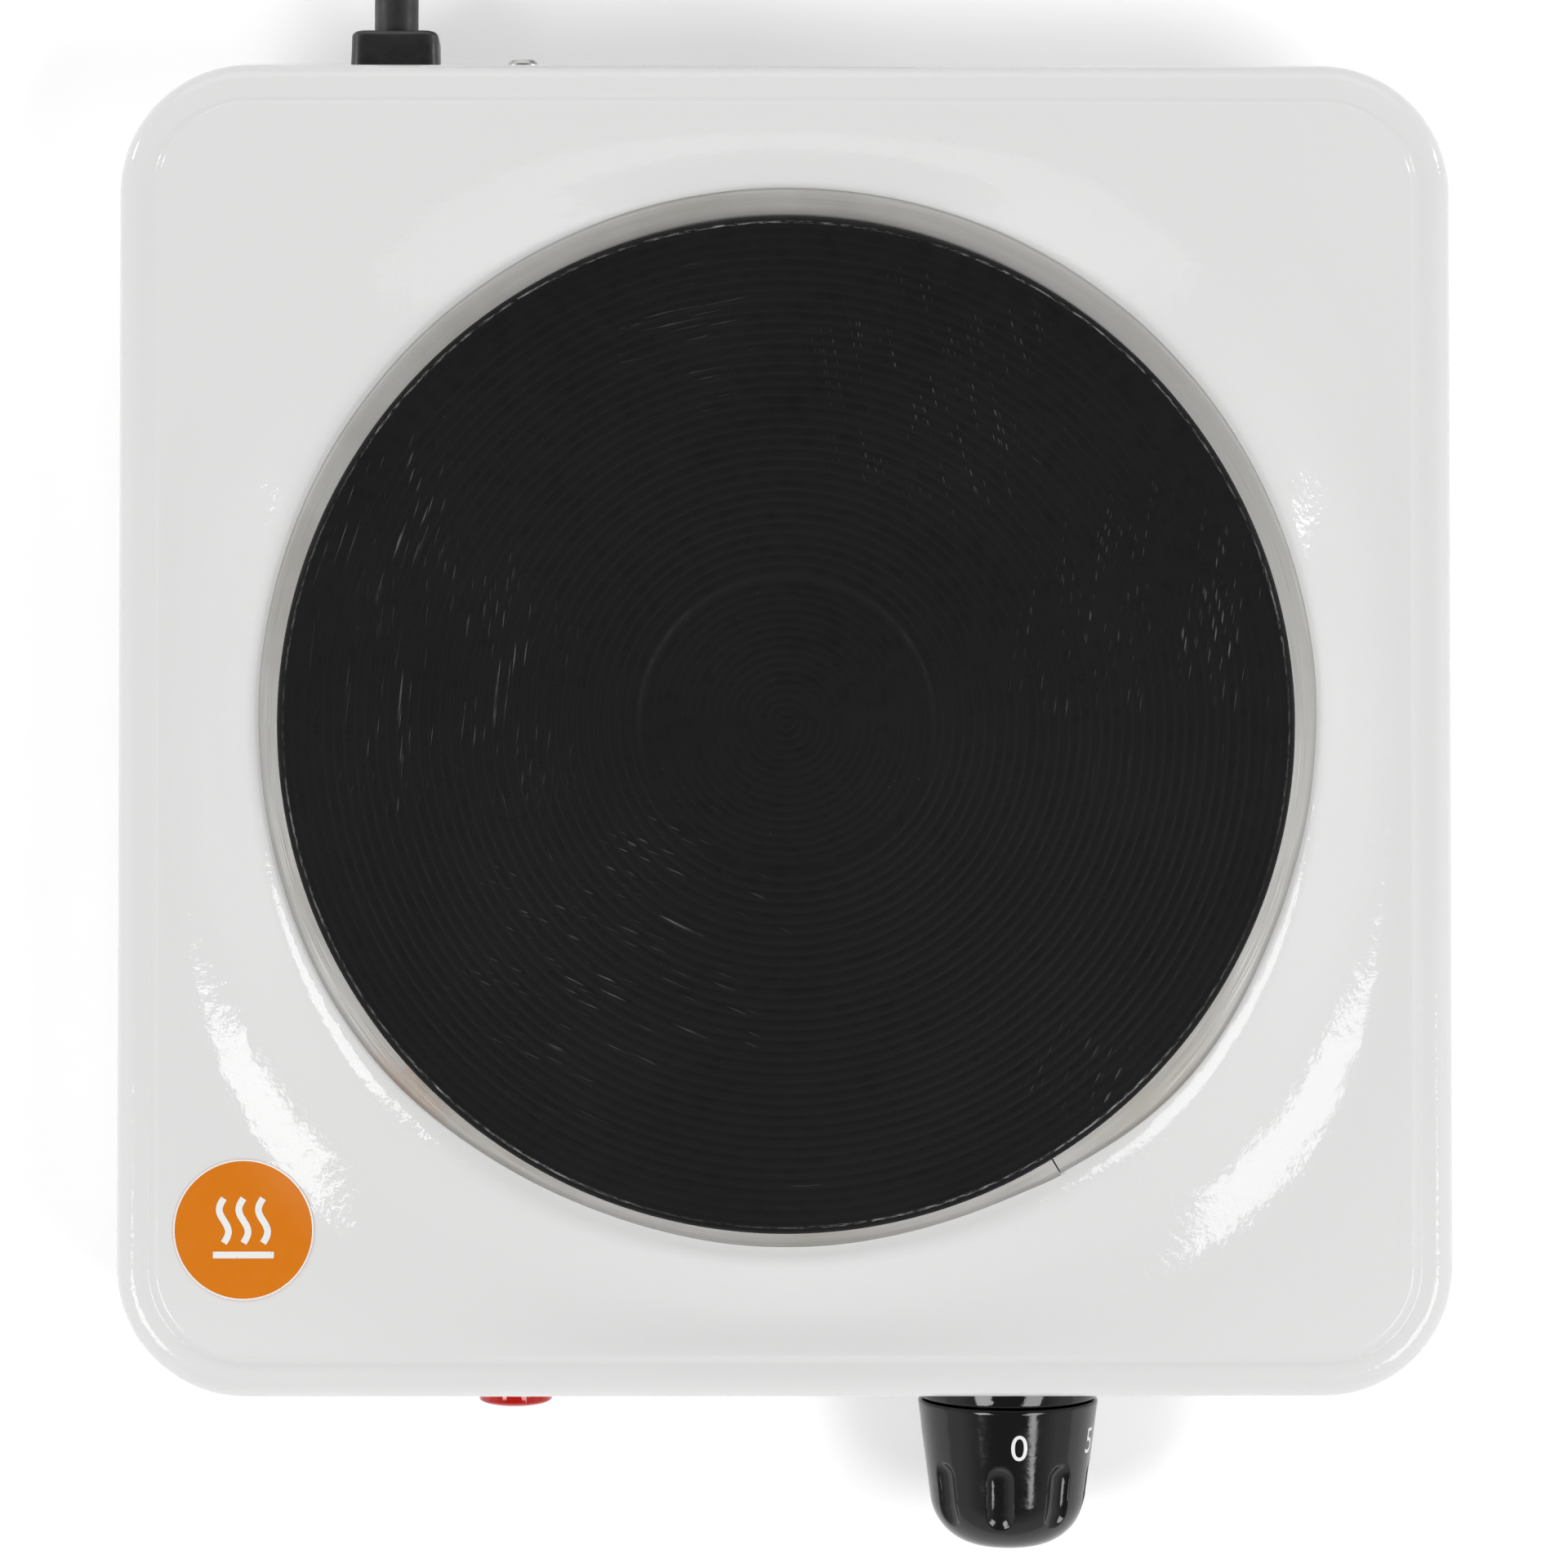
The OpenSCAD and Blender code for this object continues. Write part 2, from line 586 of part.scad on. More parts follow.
// Thermostat on its bracket behind the front wall
module thermostat_bracket() about_plate() at_front(knob_x, control_z) color("silver") difference() {
    translate([-18, -13, block_front_w]) cube([36, 26, 1.5]);
    translate([0, 0, -3]) cylinder(r = bushing_r + 0.1, h = 3);
    for (x = [-1, 1]) translate([x * bracket_screw_x, 0, -3]) cylinder(r = 1.95, h = 3);
}
module thermostat_screws() about_plate() at_front(knob_x, control_z) color("gray") {
    for (x = [-1, 1]) translate([x * bracket_screw_x, 0, 0]) pan_screw(3.4, 1.7, 1.95, 5);
}
module thermostat_body() about_plate() at_front(knob_x, control_z) color("ivory") difference() {
    union() {
        translate([-block_half_x, -block_half_y, block_back_w])
            cube([2 * block_half_x, 2 * block_half_y, block_front_w - block_back_w]);
        translate([-5, -block_half_y, blade_w - 1.5]) cube([10, 2.5, block_back_w - blade_w + 2.5]);
        translate([-5, block_half_y - 2.5, fixed_contact_w]) cube([10, 2.5, block_back_w - fixed_contact_w + 1]);
    }
    translate([0, 0, shaft_in_w]) cylinder(r = bushing_r + 0.1, h = 12);
    translate([0, 0, -30]) cylinder(r = pin_r + running_gap, h = 20);
    for (x = [-1, 1]) translate([x * bracket_screw_x, 0, -5.5]) cylinder(r = 2.2, h = 6);
}
module thermostat_bushing() about_plate() at_front(knob_x, control_z) color("gold") {
    translate([0, 0, shaft_in_w]) ring(shaft_r + running_gap, bushing_r, bezel_w - shaft_in_w);
}
module adjuster_pin() about_plate() at_front(knob_x, control_z) color("ivory") {
    translate([0, 0, pin_end_w]) cylinder(r = pin_r, h = shaft_in_w - running_gap - pin_end_w);
}
module bimetal_blade() about_plate() at_front(knob_x, control_z) color("gold") {
    translate([-4, blade_root_y, blade_w - blade_t]) cube([8, blade_tip_y - blade_root_y, blade_t]);
    translate([0, contact_y, blade_w - blade_t - 1]) cylinder(r = contact_r, h = 1.2);
}
module blade_terminal() about_plate() at_front(knob_x, control_z) color("gold") {
    translate([-4, -17, blade_w - 2.3]) cube([8, 7.3, 0.8]);
}
module fixed_contact() about_plate() at_front(knob_x, control_z) color("gold") {
    translate([-4, 4, fixed_contact_w - 0.8]) cube([8, 13, 0.8]);
    translate([0, contact_y, fixed_contact_w - 0.4]) cylinder(r = contact_r, h = 1.7);
}

// Indicator lamp
module lamp_lens() about_plate() at_front(-lamp_x, control_z) color([0.75, 0.03, 0.03]) {
    rotate_extrude() polygon(concat(
        [[3.4, -9], [lamp_stem_r, -9], [lamp_stem_r, 0], [lamp_d / 2, 0], [lamp_d / 2, lens_side_w]],
        [for (a = [15:15:75]) [lamp_d / 2 * cos(a), lens_side_w + lens_dome * sin(a)]],
        [[0, lens_side_w + lens_dome], [0, 2.6], [3.4, 2.6]]
    ));
}
module lamp_bulb() about_plate() at_front(-lamp_x, control_z) color([0.9, 0.8, 0.7]) {
    rotate_extrude() polygon([[0, -13], [2.8, -13], [2.8, 0.4], [2, 1.6], [0, 2]]);
}
module lamp_clip() about_plate() at_front(-lamp_x, control_z) color("silver") {
    translate([0, 0, -sheet - 1.2]) ring(lamp_stem_r, 8, 1.2);
}

// Earth connection on the back wall
module earth_screw() about_plate() at_back(-earth_x, earth_z) color("silver") pan_screw(3.1, 2.4, earth_r, 9);
module earth_lug() about_plate() at_back(-earth_x, earth_z) color("gold") {
    translate([0, 0, -sheet - 0.8]) ring(earth_r + 0.1, 3.4, 0.8);
    translate([3.2, -1.4, -sheet - 0.8]) cube([3, 2.8, 0.8]);
}
module earth_nut() about_plate() at_back(-earth_x, earth_z) color("silver") {
    translate([0, 0, -sheet - 3.3]) hex_nut(5.5, earth_r, 2.4);
}

// Porcelain terminal block on the bottom plate
module at_sleeves() {
    for (x = [-1, 1]) translate([block_pos[0] + x * sleeve_x, block_pos[1], sleeve_z]) children();
}
module terminal_block() about_plate() color("ivory") difference() {
    translate([block_pos[0] - block_size[0] / 2, block_pos[1] - block_size[1] / 2, base_z]) cube(block_size);
    at_sleeves() rotate([90, 0, 0]) cylinder(r = 3.3, h = block_size[1] + 2, center = true);
    for (y = [-4, 4]) at_sleeves() translate([0, y, 0]) cylinder(r = 1.9, h = 10);
}
module terminal_sleeves() about_plate() color("gold") at_sleeves() difference() {
    rotate([90, 0, 0]) cylinder(r = 3.2, h = block_size[1] - 1, center = true);
    rotate([90, 0, 0]) cylinder(r = 2.2, h = block_size[1] + 1, center = true);
    for (y = [-4, 4]) translate([0, y, 0]) cylinder(r = 1.5, h = 5);
}
module terminal_screws() about_plate() color("silver") {
    for (y = [-4, 4]) at_sleeves() translate([0, y, 0]) difference() {
        cylinder(r = 1.45, h = 6.4);
        translate([-2, -0.3, 5.6]) cube([4, 0.6, 1]);
    }
}

// Wires inside the body
module wire(route, colour) about_plate() color(colour) tube(smooth(route, 3), wire_r, 8);
module wire_live() wire(live_route, "saddlebrown");
module wire_neutral() wire(neutral_route, "royalblue");
module wire_earth() wire(earth_route, "yellowgreen");
module wire_feed() wire(feed_route, "saddlebrown");
module wire_heater_live() wire(heater_live_route, "ivory");
module wire_heater_neutral() wire(heater_neutral_route, "ivory");
module wire_lamp_live() wire(lamp_live_route, "white");
module wire_lamp_neutral() wire(lamp_neutral_route, "white");

// Round sticker on the field, near the front left corner
module caution_disc() about_plate() color([0.85, 0.48, 0.07]) {
    translate([-99.7, -92.5, field_z]) cylinder(r = 13, h = 0.2);
}

// Strain relief in the back wall, and the ring that locks it inside
module strain_relief() about_plate() at_back(-gland_x, gland_z) color([0.07, 0.07, 0.07]) difference() {
    union() {
        linear_extrude(gland_l, scale = gland_taper) rounded_square(gland_w, gland_h, 2.5, $fn = 32);
        translate([0, 0, -gland_neck_l]) cylinder(r = gland_neck_r, h = gland_neck_l + 0.5);
    }
    translate([0, 0, -gland_neck_l - 1]) cylinder(r = cord_d / 2 + 0.05, h = gland_neck_l + gland_l + 2);
}
module strain_relief_lock() about_plate() at_back(-gland_x, gland_z) color([0.07, 0.07, 0.07]) {
    translate([0, 0, -sheet - 4]) ring(gland_neck_r, 9, 4);
}

// Mains cord: its free stretches as tubes, and the outer shape of its coil
module power_cord() color([0.06, 0.06, 0.06]) tube(cord_route, cord_d / 2, 12);
module cord_tail() color([0.06, 0.06, 0.06]) tube(tail_route, cord_d / 2, 12);
module cord_coil() color([0.06, 0.06, 0.06]) translate([coil_centre[0], coil_centre[1], tie_t]) {
    rotate_extrude() translate([coil_mid_r, coil_h / 2]) rounded_square(coil_band, coil_h, 4);
}
module cord_tie() color([0.25, 0.25, 0.25]) {
    translate([coil_centre[0], coil_centre[1], 0]) rotate(tie_angle)
        translate([coil_mid_r, 0, tie_t + coil_h / 2]) difference() {
            cube([coil_band + 2 * tie_t + 0.8, tie_w, coil_h + 2 * tie_t], center = true);
            cube([coil_band + 0.8, tie_w + 2, coil_h], center = true);
        }
}

// Moulded two-pin plug with side earth contacts
module at_plug() translate(plug_pos) rotate([0, 90, 0]) children();
module plug_body() at_plug() color([0.06, 0.06, 0.06]) difference() {
    rotate_extrude() polygon([
        [0, 0], [5, 0], [6.5, plug_boot_l], [12, plug_boot_l + 4], [13, plug_boot_l + 15],
        [plug_r, plug_boot_l + 19], [plug_r, plug_l - 1], [plug_r - 1, plug_l], [0, plug_l]
    ]);
    for (x = [-1, 1]) translate([x * plug_pin_gap / 2, 0, plug_l - 14]) cylinder(r = plug_pin_r, h = 15);
    translate([0, 9.5, plug_l - 12]) cylinder(r = 2.6, h = 13);
    for (y = [-plug_r - 1, plug_r - 1]) translate([-3.2, y, plug_l - 14]) cube([6.4, 2, 15]);
}
module plug_pins() at_plug() color("silver") {
    for (x = [-1, 1]) translate([x * plug_pin_gap / 2, 0, plug_l - 14]) {
        cylinder(r = plug_pin_r, h = 13 + plug_pin_l);
        translate([0, 0, 13 + plug_pin_l]) cylinder(r1 = plug_pin_r, r2 = plug_pin_r - 0.9, h = 1);
    }
}
module plug_earth_clips() at_plug() color("silver") {
    for (y = [-plug_r + 0.2, plug_r - 1]) translate([-3, y, plug_l - 13.5]) cube([6, 0.8, 13.5]);
}

housing();
bottom_plate();
bottom_screws();
foot_front_left();
foot_front_right();
foot_back_left();
foot_back_right();
foot_screws();
foot_nuts();
heating_plate();
trim_ring();
heating_coil();
insulation_mass();
plate_back_cover();
lead_bushings();
centre_stud();
cover_nut();
clamp_bracket();
stud_washer();
stud_nut();
knob();
knob_clip();
thermostat_shaft();
knob_bezel();
thermostat_bracket();
thermostat_screws();
thermostat_body();
thermostat_bushing();
adjuster_pin();
bimetal_blade();
blade_terminal();
fixed_contact();
lamp_lens();
lamp_bulb();
lamp_clip();
earth_screw();
earth_lug();
earth_nut();
terminal_block();
terminal_sleeves();
terminal_screws();
wire_live();
wire_neutral();
wire_earth();
wire_feed();
wire_heater_live();
wire_heater_neutral();
wire_lamp_live();
wire_lamp_neutral();
caution_disc();
strain_relief();
strain_relief_lock();
power_cord();
cord_coil();
cord_tail();
cord_tie();
plug_body();
plug_pins();
plug_earth_clips();
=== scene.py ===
"""Electric hot plate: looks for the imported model. Metres, in the model's own frame."""

import json
import math

import bmesh
import bpy
from mathutils import Matrix, Vector, noise


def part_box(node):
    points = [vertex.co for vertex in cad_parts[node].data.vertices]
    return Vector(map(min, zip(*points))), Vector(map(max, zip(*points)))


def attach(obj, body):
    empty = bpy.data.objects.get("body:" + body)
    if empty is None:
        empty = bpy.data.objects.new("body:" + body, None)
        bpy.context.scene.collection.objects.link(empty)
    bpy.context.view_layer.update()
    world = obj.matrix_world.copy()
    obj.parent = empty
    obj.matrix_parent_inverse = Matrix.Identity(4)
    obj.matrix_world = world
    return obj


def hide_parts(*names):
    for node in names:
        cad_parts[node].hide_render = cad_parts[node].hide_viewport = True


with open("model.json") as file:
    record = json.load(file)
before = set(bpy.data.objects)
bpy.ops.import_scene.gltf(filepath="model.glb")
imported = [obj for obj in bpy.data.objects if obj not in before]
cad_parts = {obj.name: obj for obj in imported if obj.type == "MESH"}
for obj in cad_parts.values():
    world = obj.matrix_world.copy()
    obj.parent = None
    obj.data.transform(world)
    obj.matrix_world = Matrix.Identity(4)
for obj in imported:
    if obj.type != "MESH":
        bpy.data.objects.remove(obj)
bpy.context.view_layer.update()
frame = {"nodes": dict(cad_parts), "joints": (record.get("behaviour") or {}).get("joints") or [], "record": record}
nodes = frame["nodes"]
MM = 0.001
TURN = 2 * math.pi

# ---------------------------------------------------------------- places from the frame
plate_low, plate_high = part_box("heating_plate")
house_low, house_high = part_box("housing")
plate_centre = (plate_low + plate_high) / 2
plate_x, plate_y, top_z = plate_centre.x, plate_centre.y, plate_high.z
plate_r = (plate_high.x - plate_low.x) / 2
half_w = (house_high.x - house_low.x) / 2
seat_z = house_high.z
base_z = house_low.z
knob_joint = next(j for j in frame["joints"] if j["name"] == "knob_turn")
inward = Vector(knob_joint["axis"])
draft = math.asin(inward.z)

# The cover's levels and outline, as in the CAD
corner_r = 24 * MM
edge_r = 4 * MM
sheet = 0.8 * MM
ledge_z = top_z - 19 * MM
field_z = ledge_z + 1.2 * MM
edge_z = ledge_z - edge_r
edge_d = corner_r - edge_r
step_d = corner_r - 7 * MM
corner_c = half_w - corner_r
opening_r = 93.4 * MM
# Where the dome starts to fall away, under the ring
dome_seat_r = 96.8 * MM


def wall_d(z):
    """Distance of the wall's face from a corner's centre line."""
    return edge_d + edge_r / math.cos(draft) + (z - edge_z) * math.tan(draft)


def on_wall(point, outward):
    """Frame on a wall: local Z runs outwards, local Y up the wall."""
    z = outward.normalized()
    x = Vector((0, 0, 1)).cross(z).normalized()
    place = Matrix((x, z.cross(x), z)).transposed().to_4x4()
    place.translation = point
    return place


knob_place = on_wall(Vector(knob_joint["pos_m"]), -inward)
lamp_low, lamp_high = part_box("lamp_lens")
lamp_place = on_wall(Vector(((lamp_low.x + lamp_high.x) / 2, *knob_joint["pos_m"][1:])), -inward)


def on_back_wall(low, high, z):
    """Frame on the back wall at a height, in the middle of a box's width."""
    back_y = plate_y + corner_c + wall_d(z)
    return on_wall(Vector(((low.x + high.x) / 2, back_y, z)), Vector((0, inward.y, -inward.z)))


gland_place = on_back_wall(*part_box("strain_relief"), 27.8 * MM)

# ---------------------------------------------------------------- camera
# Nearly straight above, with the back of the plate at the top of the view, through a long lens
camera = bpy.data.objects.new("camera", bpy.data.cameras.new("camera"))
bpy.context.scene.collection.objects.link(camera)
bpy.context.scene.camera = camera
camera.location = (-0.0091, -0.0317, 1.108)
camera_aim = Vector((-0.0003, -0.0002, 0.054))
camera_back = (camera.location - camera_aim).normalized()
camera_right = Vector((0, 1, 0)).cross(camera_back).normalized()
camera_up = camera_back.cross(camera_right)
camera.rotation_euler = Matrix((camera_right, camera_up, camera_back)).transposed().to_euler()
camera.data.sensor_width = 36
camera.data.lens = 131.45
camera.data.clip_start, camera.data.clip_end = 0.01, 20


# ---------------------------------------------------------------- building blocks
def smooth(t):
    """0 to 1 with level ends."""
    t = min(1.0, max(0.0, t))
    return t * t * (3 - 2 * t)


def bell(x, width):
    return math.exp(-((x / width) ** 2))


def arc(centre, radius, start, end, steps):
    """Points of an arc, with angles in degrees."""
    return [
        (centre[0] + radius * math.cos(a), centre[1] + radius * math.sin(a))
        for a in (math.radians(start + (end - start) * i / steps) for i in range(steps + 1))
    ]


def mesh_piece(name, points, faces, place=None, crease=35):
    """A smooth-shaded mesh object with edges sharper than the crease angle left sharp."""
    mesh = bpy.data.meshes.new(name)
    mesh.from_pydata([place @ Vector(p) for p in points] if place else points, [], faces)
    mesh.shade_smooth()
    work = bmesh.new()
    work.from_mesh(mesh)
    bmesh.ops.recalc_face_normals(work, faces=work.faces)
    work.to_mesh(mesh)
    work.free()
    mesh.set_sharp_from_angle(angle=math.radians(crease))
    piece = bpy.data.objects.new(name, mesh)
    bpy.context.scene.collection.objects.link(piece)
    return piece


def bands(rings, closed=False):
    """Points and faces of a surface through rings with the same number of points each."""
    count = len(rings[0])
    points = [p for ring in rings for p in ring]
    faces = []
    for i in range(len(rings) if closed else len(rings) - 1):
        low, high = i * count, (i + 1) % len(rings) * count
        faces += [
            (low + j, low + (j + 1) % count, high + (j + 1) % count, high + j) for j in range(count)
        ]
    return points, faces


def lathe(name, outline, steps, place=None, bend=None, crease=35):
    """A solid turned about local Z. A point of the outline on the axis closes that end."""
    ends = [outline[0][0] < 1e-9, outline[-1][0] < 1e-9]
    inner = outline[1 if ends[0] else 0 : -1 if ends[1] else None]
    rings = []
    for r, z in inner:
        ring = []
        for j in range(steps):
            a = TURN * j / steps
            rr, zz = bend(r, z, a) if bend else (r, z)
            ring.append((rr * math.cos(a), rr * math.sin(a), zz))
        rings.append(ring)
    points, faces = bands(rings, closed=not any(ends))
    for end, first, z in ((0, 0, outline[0][1]), (1, len(points) - steps, outline[-1][1])):
        if ends[end]:
            points.append((0, 0, z))
            middle = len(points) - 1
            faces += [(first + j, first + (j + 1) % steps, middle) for j in range(steps)]
    return mesh_piece(name, points, faces, place, crease)


def finished(piece, *replaced, body="base", slot, material):
    """Gives a piece its body and its material, and hides what it stands for. The slot argument is not used."""
    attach(piece, body)
    if replaced:
        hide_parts(*replaced)
    piece.data.materials.clear()
    piece.data.materials.append(material)
    return piece


# ---------------------------------------------------------------- materials
# Spacing of the plate's turned grooves
GROOVE_PITCH = 1.92 * MM
# Where pans have scuffed the plate: x and y from its centre and reach in mm, and direction in degrees
SCUFFS = [
    (-30, -42, 34, -24), (-60, 6, 30, 84), (-74, 38, 18, 72), (68, 14, 32, 82), (27, 60, 26, 102),
    (54, -64, 13, 64), (-20, 70, 16, 12),
]


class Paint:
    """A node material. Its calls add nodes and join them to the shader."""

    def __init__(self, name, colour, roughness, metallic=0.0, **sockets):
        self.material = bpy.data.materials.new(name)
        self.material.use_nodes = True
        self.tree = self.material.node_tree
        self.shader = self.tree.nodes["Principled BSDF"]
        self.shader.inputs["Base Color"].default_value = (*colour, 1)
        self.shader.inputs["Roughness"].default_value = roughness
        self.shader.inputs["Metallic"].default_value = metallic
        for socket, value in sockets.items():
            self.shader.inputs[socket.replace("_", " ")].default_value = value
        self.where = self.add("ShaderNodeTexCoord").outputs["Object"]

    def add(self, kind, ins=(), **settings):
        """A node, with its inputs set or linked in order, and its settings."""
        node = self.tree.nodes.new(kind)
        for key, value in settings.items():
            setattr(node, key, value)
        for key, value in dict(ins).items():
            if isinstance(value, bpy.types.NodeSocket):
                self.tree.links.new(value, node.inputs[key])
            else:
                node.inputs[key].default_value = value
        return node

    def math(self, operation, a, b=0.0):
        return self.add("ShaderNodeMath", {0: a, 1: b}, operation=operation).outputs[0]

    def scaled(self, vector, scale):
        return self.add("ShaderNodeVectorMath", {0: vector, 1: scale}, operation="MULTIPLY").outputs[0]

    def noise(self, scale, detail=3.0, rough=0.55, vector=None):
        ins = {"Scale": scale, "Detail": detail, "Roughness": rough, "Vector": vector or self.where}
        return self.add("ShaderNodeTexNoise", ins).outputs[0]

    def voronoi(self, scale, output="Distance"):
        ins = {"Scale": scale, "Vector": self.where}
        return self.add("ShaderNodeTexVoronoi", ins).outputs[output]

    def range(self, value, low, high, to_low=0.0, to_high=1.0):
        """The value mapped from low..high to to_low..to_high, and held there past the ends."""
        ins = {0: value, 1: low, 2: high, 3: to_low, 4: to_high}
        return self.add("ShaderNodeMapRange", ins, clamp=True).outputs[0]

    def polar(self, x, y):
        """Radius and angle about an upright axis."""
        ins = {0: self.where, 1: (x, y, 0)}
        moved = self.add("ShaderNodeVectorMath", ins, operation="SUBTRACT").outputs[0]
        split = self.add("ShaderNodeSeparateXYZ", {0: moved})
        flat = self.add("ShaderNodeCombineXYZ", {0: split.outputs[0], 1: split.outputs[1]})
        radius = self.add("ShaderNodeVectorMath", {0: flat.outputs[0]}, operation="LENGTH")
        angle = self.math("ARCTAN2", split.outputs[1], split.outputs[0])
        return radius.outputs["Value"], angle

    def vector(self, x=0.0, y=0.0, z=0.0):
        return self.add("ShaderNodeCombineXYZ", {0: x, 1: y, 2: z}).outputs[0]

    def mix(self, share, a, b):
        node = self.add("ShaderNodeMix", data_type="RGBA")
        for socket, value in ((node.inputs[0], share), (node.inputs[6], a), (node.inputs[7], b)):
            if isinstance(value, bpy.types.NodeSocket):
                self.tree.links.new(value, socket)
            else:
                socket.default_value = (*value, 1) if isinstance(value, tuple) else value
        return node.outputs[2]

    def tint(self, value):
        self.tree.links.new(value, self.shader.inputs["Base Color"])

    def rough(self, value):
        self.tree.links.new(value, self.shader.inputs["Roughness"])

    def bump(self, height, depth):
        """Height from 0 to 1 stands depth metres proud."""
        normal = self.add("ShaderNodeBump", {"Height": height, "Distance": depth, "Strength": 1.0})
        self.tree.links.new(normal.outputs[0], self.shader.inputs["Normal"])


def plain(name, colour, roughness, metallic=0.0, grain=900.0, depth=0.00003, spread=0.12, **sockets):
    """Slightly uneven colour, gloss and surface: the base of the simpler materials."""
    p = Paint(name, colour, roughness, metallic, **sockets)
    cloud = p.noise(grain / 8, 4)
    dark = tuple(c * (1 - spread) for c in colour)
    light = tuple(min(1, c * (1 + spread)) for c in colour)
    p.tint(p.mix(cloud, dark, light))
    p.rough(p.range(p.noise(grain / 3, 3), 0.3, 0.7, roughness * 0.82, min(1, roughness * 1.2)))
    p.bump(p.noise(grain, 3), depth)
    return p.material


def white_enamel():
    """Glassy white with an orange-peel surface and a few dark specks fired into it."""
    p = Paint("white_enamel", (0.66, 0.66, 0.656), 0.1, Specular_IOR_Level=0.24)
    cell = p.voronoi(34)
    pick = p.add("ShaderNodeSeparateColor", {0: p.voronoi(34, "Color")}).outputs[0]
    speck = p.math("MULTIPLY", p.math("LESS_THAN", cell, 0.009), p.math("GREATER_THAN", pick, 0.86))
    cloud = p.mix(p.noise(22, 3), (0.652, 0.654, 0.65), (0.672, 0.672, 0.668))
    p.tint(p.mix(p.math("MULTIPLY", speck, 0.8), cloud, (0.12, 0.11, 0.10)))
    p.rough(p.range(p.noise(60, 4), 0.3, 0.7, 0.06, 0.1))
    peel = p.math("ADD", p.noise(300, 3, 0.6), p.math("MULTIPLY", p.noise(85, 2), 1.2))
    p.bump(peel, 0.00013)
    return p.material


def cast_iron():
    """Black iron with turned grooves, scratched where pans have slid, and with a painted highlight along its
    rounded edge, broken into dashes like wear.
    """
    p = Paint("cast_iron", (0.005, 0.005, 0.0052), 0.55, Specular_IOR_Level=0.12)
    radius, angle = p.polar(plate_x, plate_y)
    ridge = p.math("COSINE", p.math("MULTIPLY", radius, TURN / GROOVE_PITCH))
    on_ridge = p.range(ridge, -0.1, -0.8)
    scratch = 0.0
    for x, y, reach, degrees in SCUFFS:
        ins = {0: p.where, 1: (plate_x + x * MM, plate_y + y * MM, top_z)}
        far = p.add("ShaderNodeVectorMath", ins, operation="DISTANCE").outputs["Value"]
        ins = {"Vector": p.where, "Angle": math.radians(-degrees), "Axis": (0, 0, 1)}
        turned = p.add("ShaderNodeVectorRotate", ins).outputs[0]
        streaks = p.range(p.noise(62, 2, 0.5, p.scaled(turned, (1, 36, 1))), 0.625, 0.675)
        here = p.math("MULTIPLY", p.range(far, reach * MM, reach * MM * 0.3), streaks)
        scratch = p.math("MAXIMUM", scratch, here)
    scratch = p.math("MULTIPLY", scratch, p.range(p.noise(80, 3), 0.42, 0.6))
    round_about = p.vector(p.math("MULTIPLY", angle, 3.4), p.math("MULTIPLY", radius, 1100.0))
    arcs = p.range(p.noise(1.6, 3, 0.6, round_about), 0.67, 0.74)
    arcs = p.math("MULTIPLY", arcs, p.range(p.noise(20, 2), 0.54, 0.66, 0.0, 0.5))
    crumbs = p.range(p.noise(1700, 2), 0.72, 0.77)
    crumbs = p.math("MULTIPLY", crumbs, p.range(p.noise(30, 3), 0.5, 0.7))
    marks = p.math("MAXIMUM", p.math("MAXIMUM", scratch, arcs), crumbs)
    marks = p.math("MULTIPLY", marks, on_ridge)
    # Painted highlight: a thin light-grey line along the rounded edge, broken into dashes, standing in for the
    # light that the edge catches
    from_edge = p.math("ABSOLUTE", p.math("SUBTRACT", radius, plate_r - 1.15 * MM))
    line = p.range(from_edge, 0.26 * MM, 0.08 * MM)
    dashes = p.vector(p.math("MULTIPLY", angle, 40.0), p.math("MULTIPLY", radius, 2500.0))
    wear_and_edge_highlight = p.math("MULTIPLY", line, p.range(p.noise(1.0, 4, 0.7, dashes), 0.44, 0.62))
    wear_and_edge_highlight = p.math("MULTIPLY", wear_and_edge_highlight, p.range(p.noise(30, 2), 0.36, 0.64, 0.1, 0.85))
    cloud = p.mix(p.noise(38, 4), (0.0032, 0.0032, 0.0034), (0.0072, 0.0072, 0.0074))
    marked = p.mix(p.math("MULTIPLY", marks, 0.7), cloud, (0.12, 0.12, 0.12))
    p.tint(p.mix(p.math("MULTIPLY", wear_and_edge_highlight, 0.85), marked, (0.34, 0.34, 0.34)))
    p.rough(p.range(p.noise(300, 4), 0.3, 0.7, 0.44, 0.62))
    p.bump(p.math("ADD", p.noise(1400, 3), p.math("MULTIPLY", marks, -0.6)), 0.00005)
    return p.material


def spun_steel():
    """Stainless sheet with the fine rings that spinning leaves, and a painted reflection of the orange sticker, a
    faint warm tint at the front left.
    """
    colour, roughness = (0.43, 0.425, 0.412), 0.58
    # Painted reflection: the direction, about the plate's centre, of the orange sticker that the ring would mirror
    sticker_reflection_angle = -2.37
    p = Paint("stainless", colour, roughness, 1.0, Anisotropic=0.35)
    radius, angle = p.polar(plate_x, plate_y)
    hair = p.vector(p.math("MULTIPLY", angle, 5.0), p.math("MULTIPLY", radius, 9000.0))
    lines = p.noise(1.0, 3, 0.6, hair)
    stain = p.range(p.noise(26, 4), 0.45, 0.68)
    base = p.mix(stain, colour, (colour[0] * 0.86, colour[1] * 0.83, colour[2] * 0.79))
    # Painted reflection of the orange sticker: a patchy warm tint on the ring beside it
    from_sticker_reflection = p.math("ABSOLUTE", p.math("SUBTRACT", angle, sticker_reflection_angle))
    patchy = p.range(p.noise(120, 3), 0.4, 0.6)
    sticker_reflection = p.math("MULTIPLY", p.range(from_sticker_reflection, 0.16, 0.02, 0.0, 0.5), patchy)
    p.tint(p.mix(sticker_reflection, base, (0.34, 0.25, 0.20)))
    p.rough(p.range(lines, 0.25, 0.75, roughness * 0.8, roughness * 1.35))
    p.bump(lines, 0.000012)
    return p.material


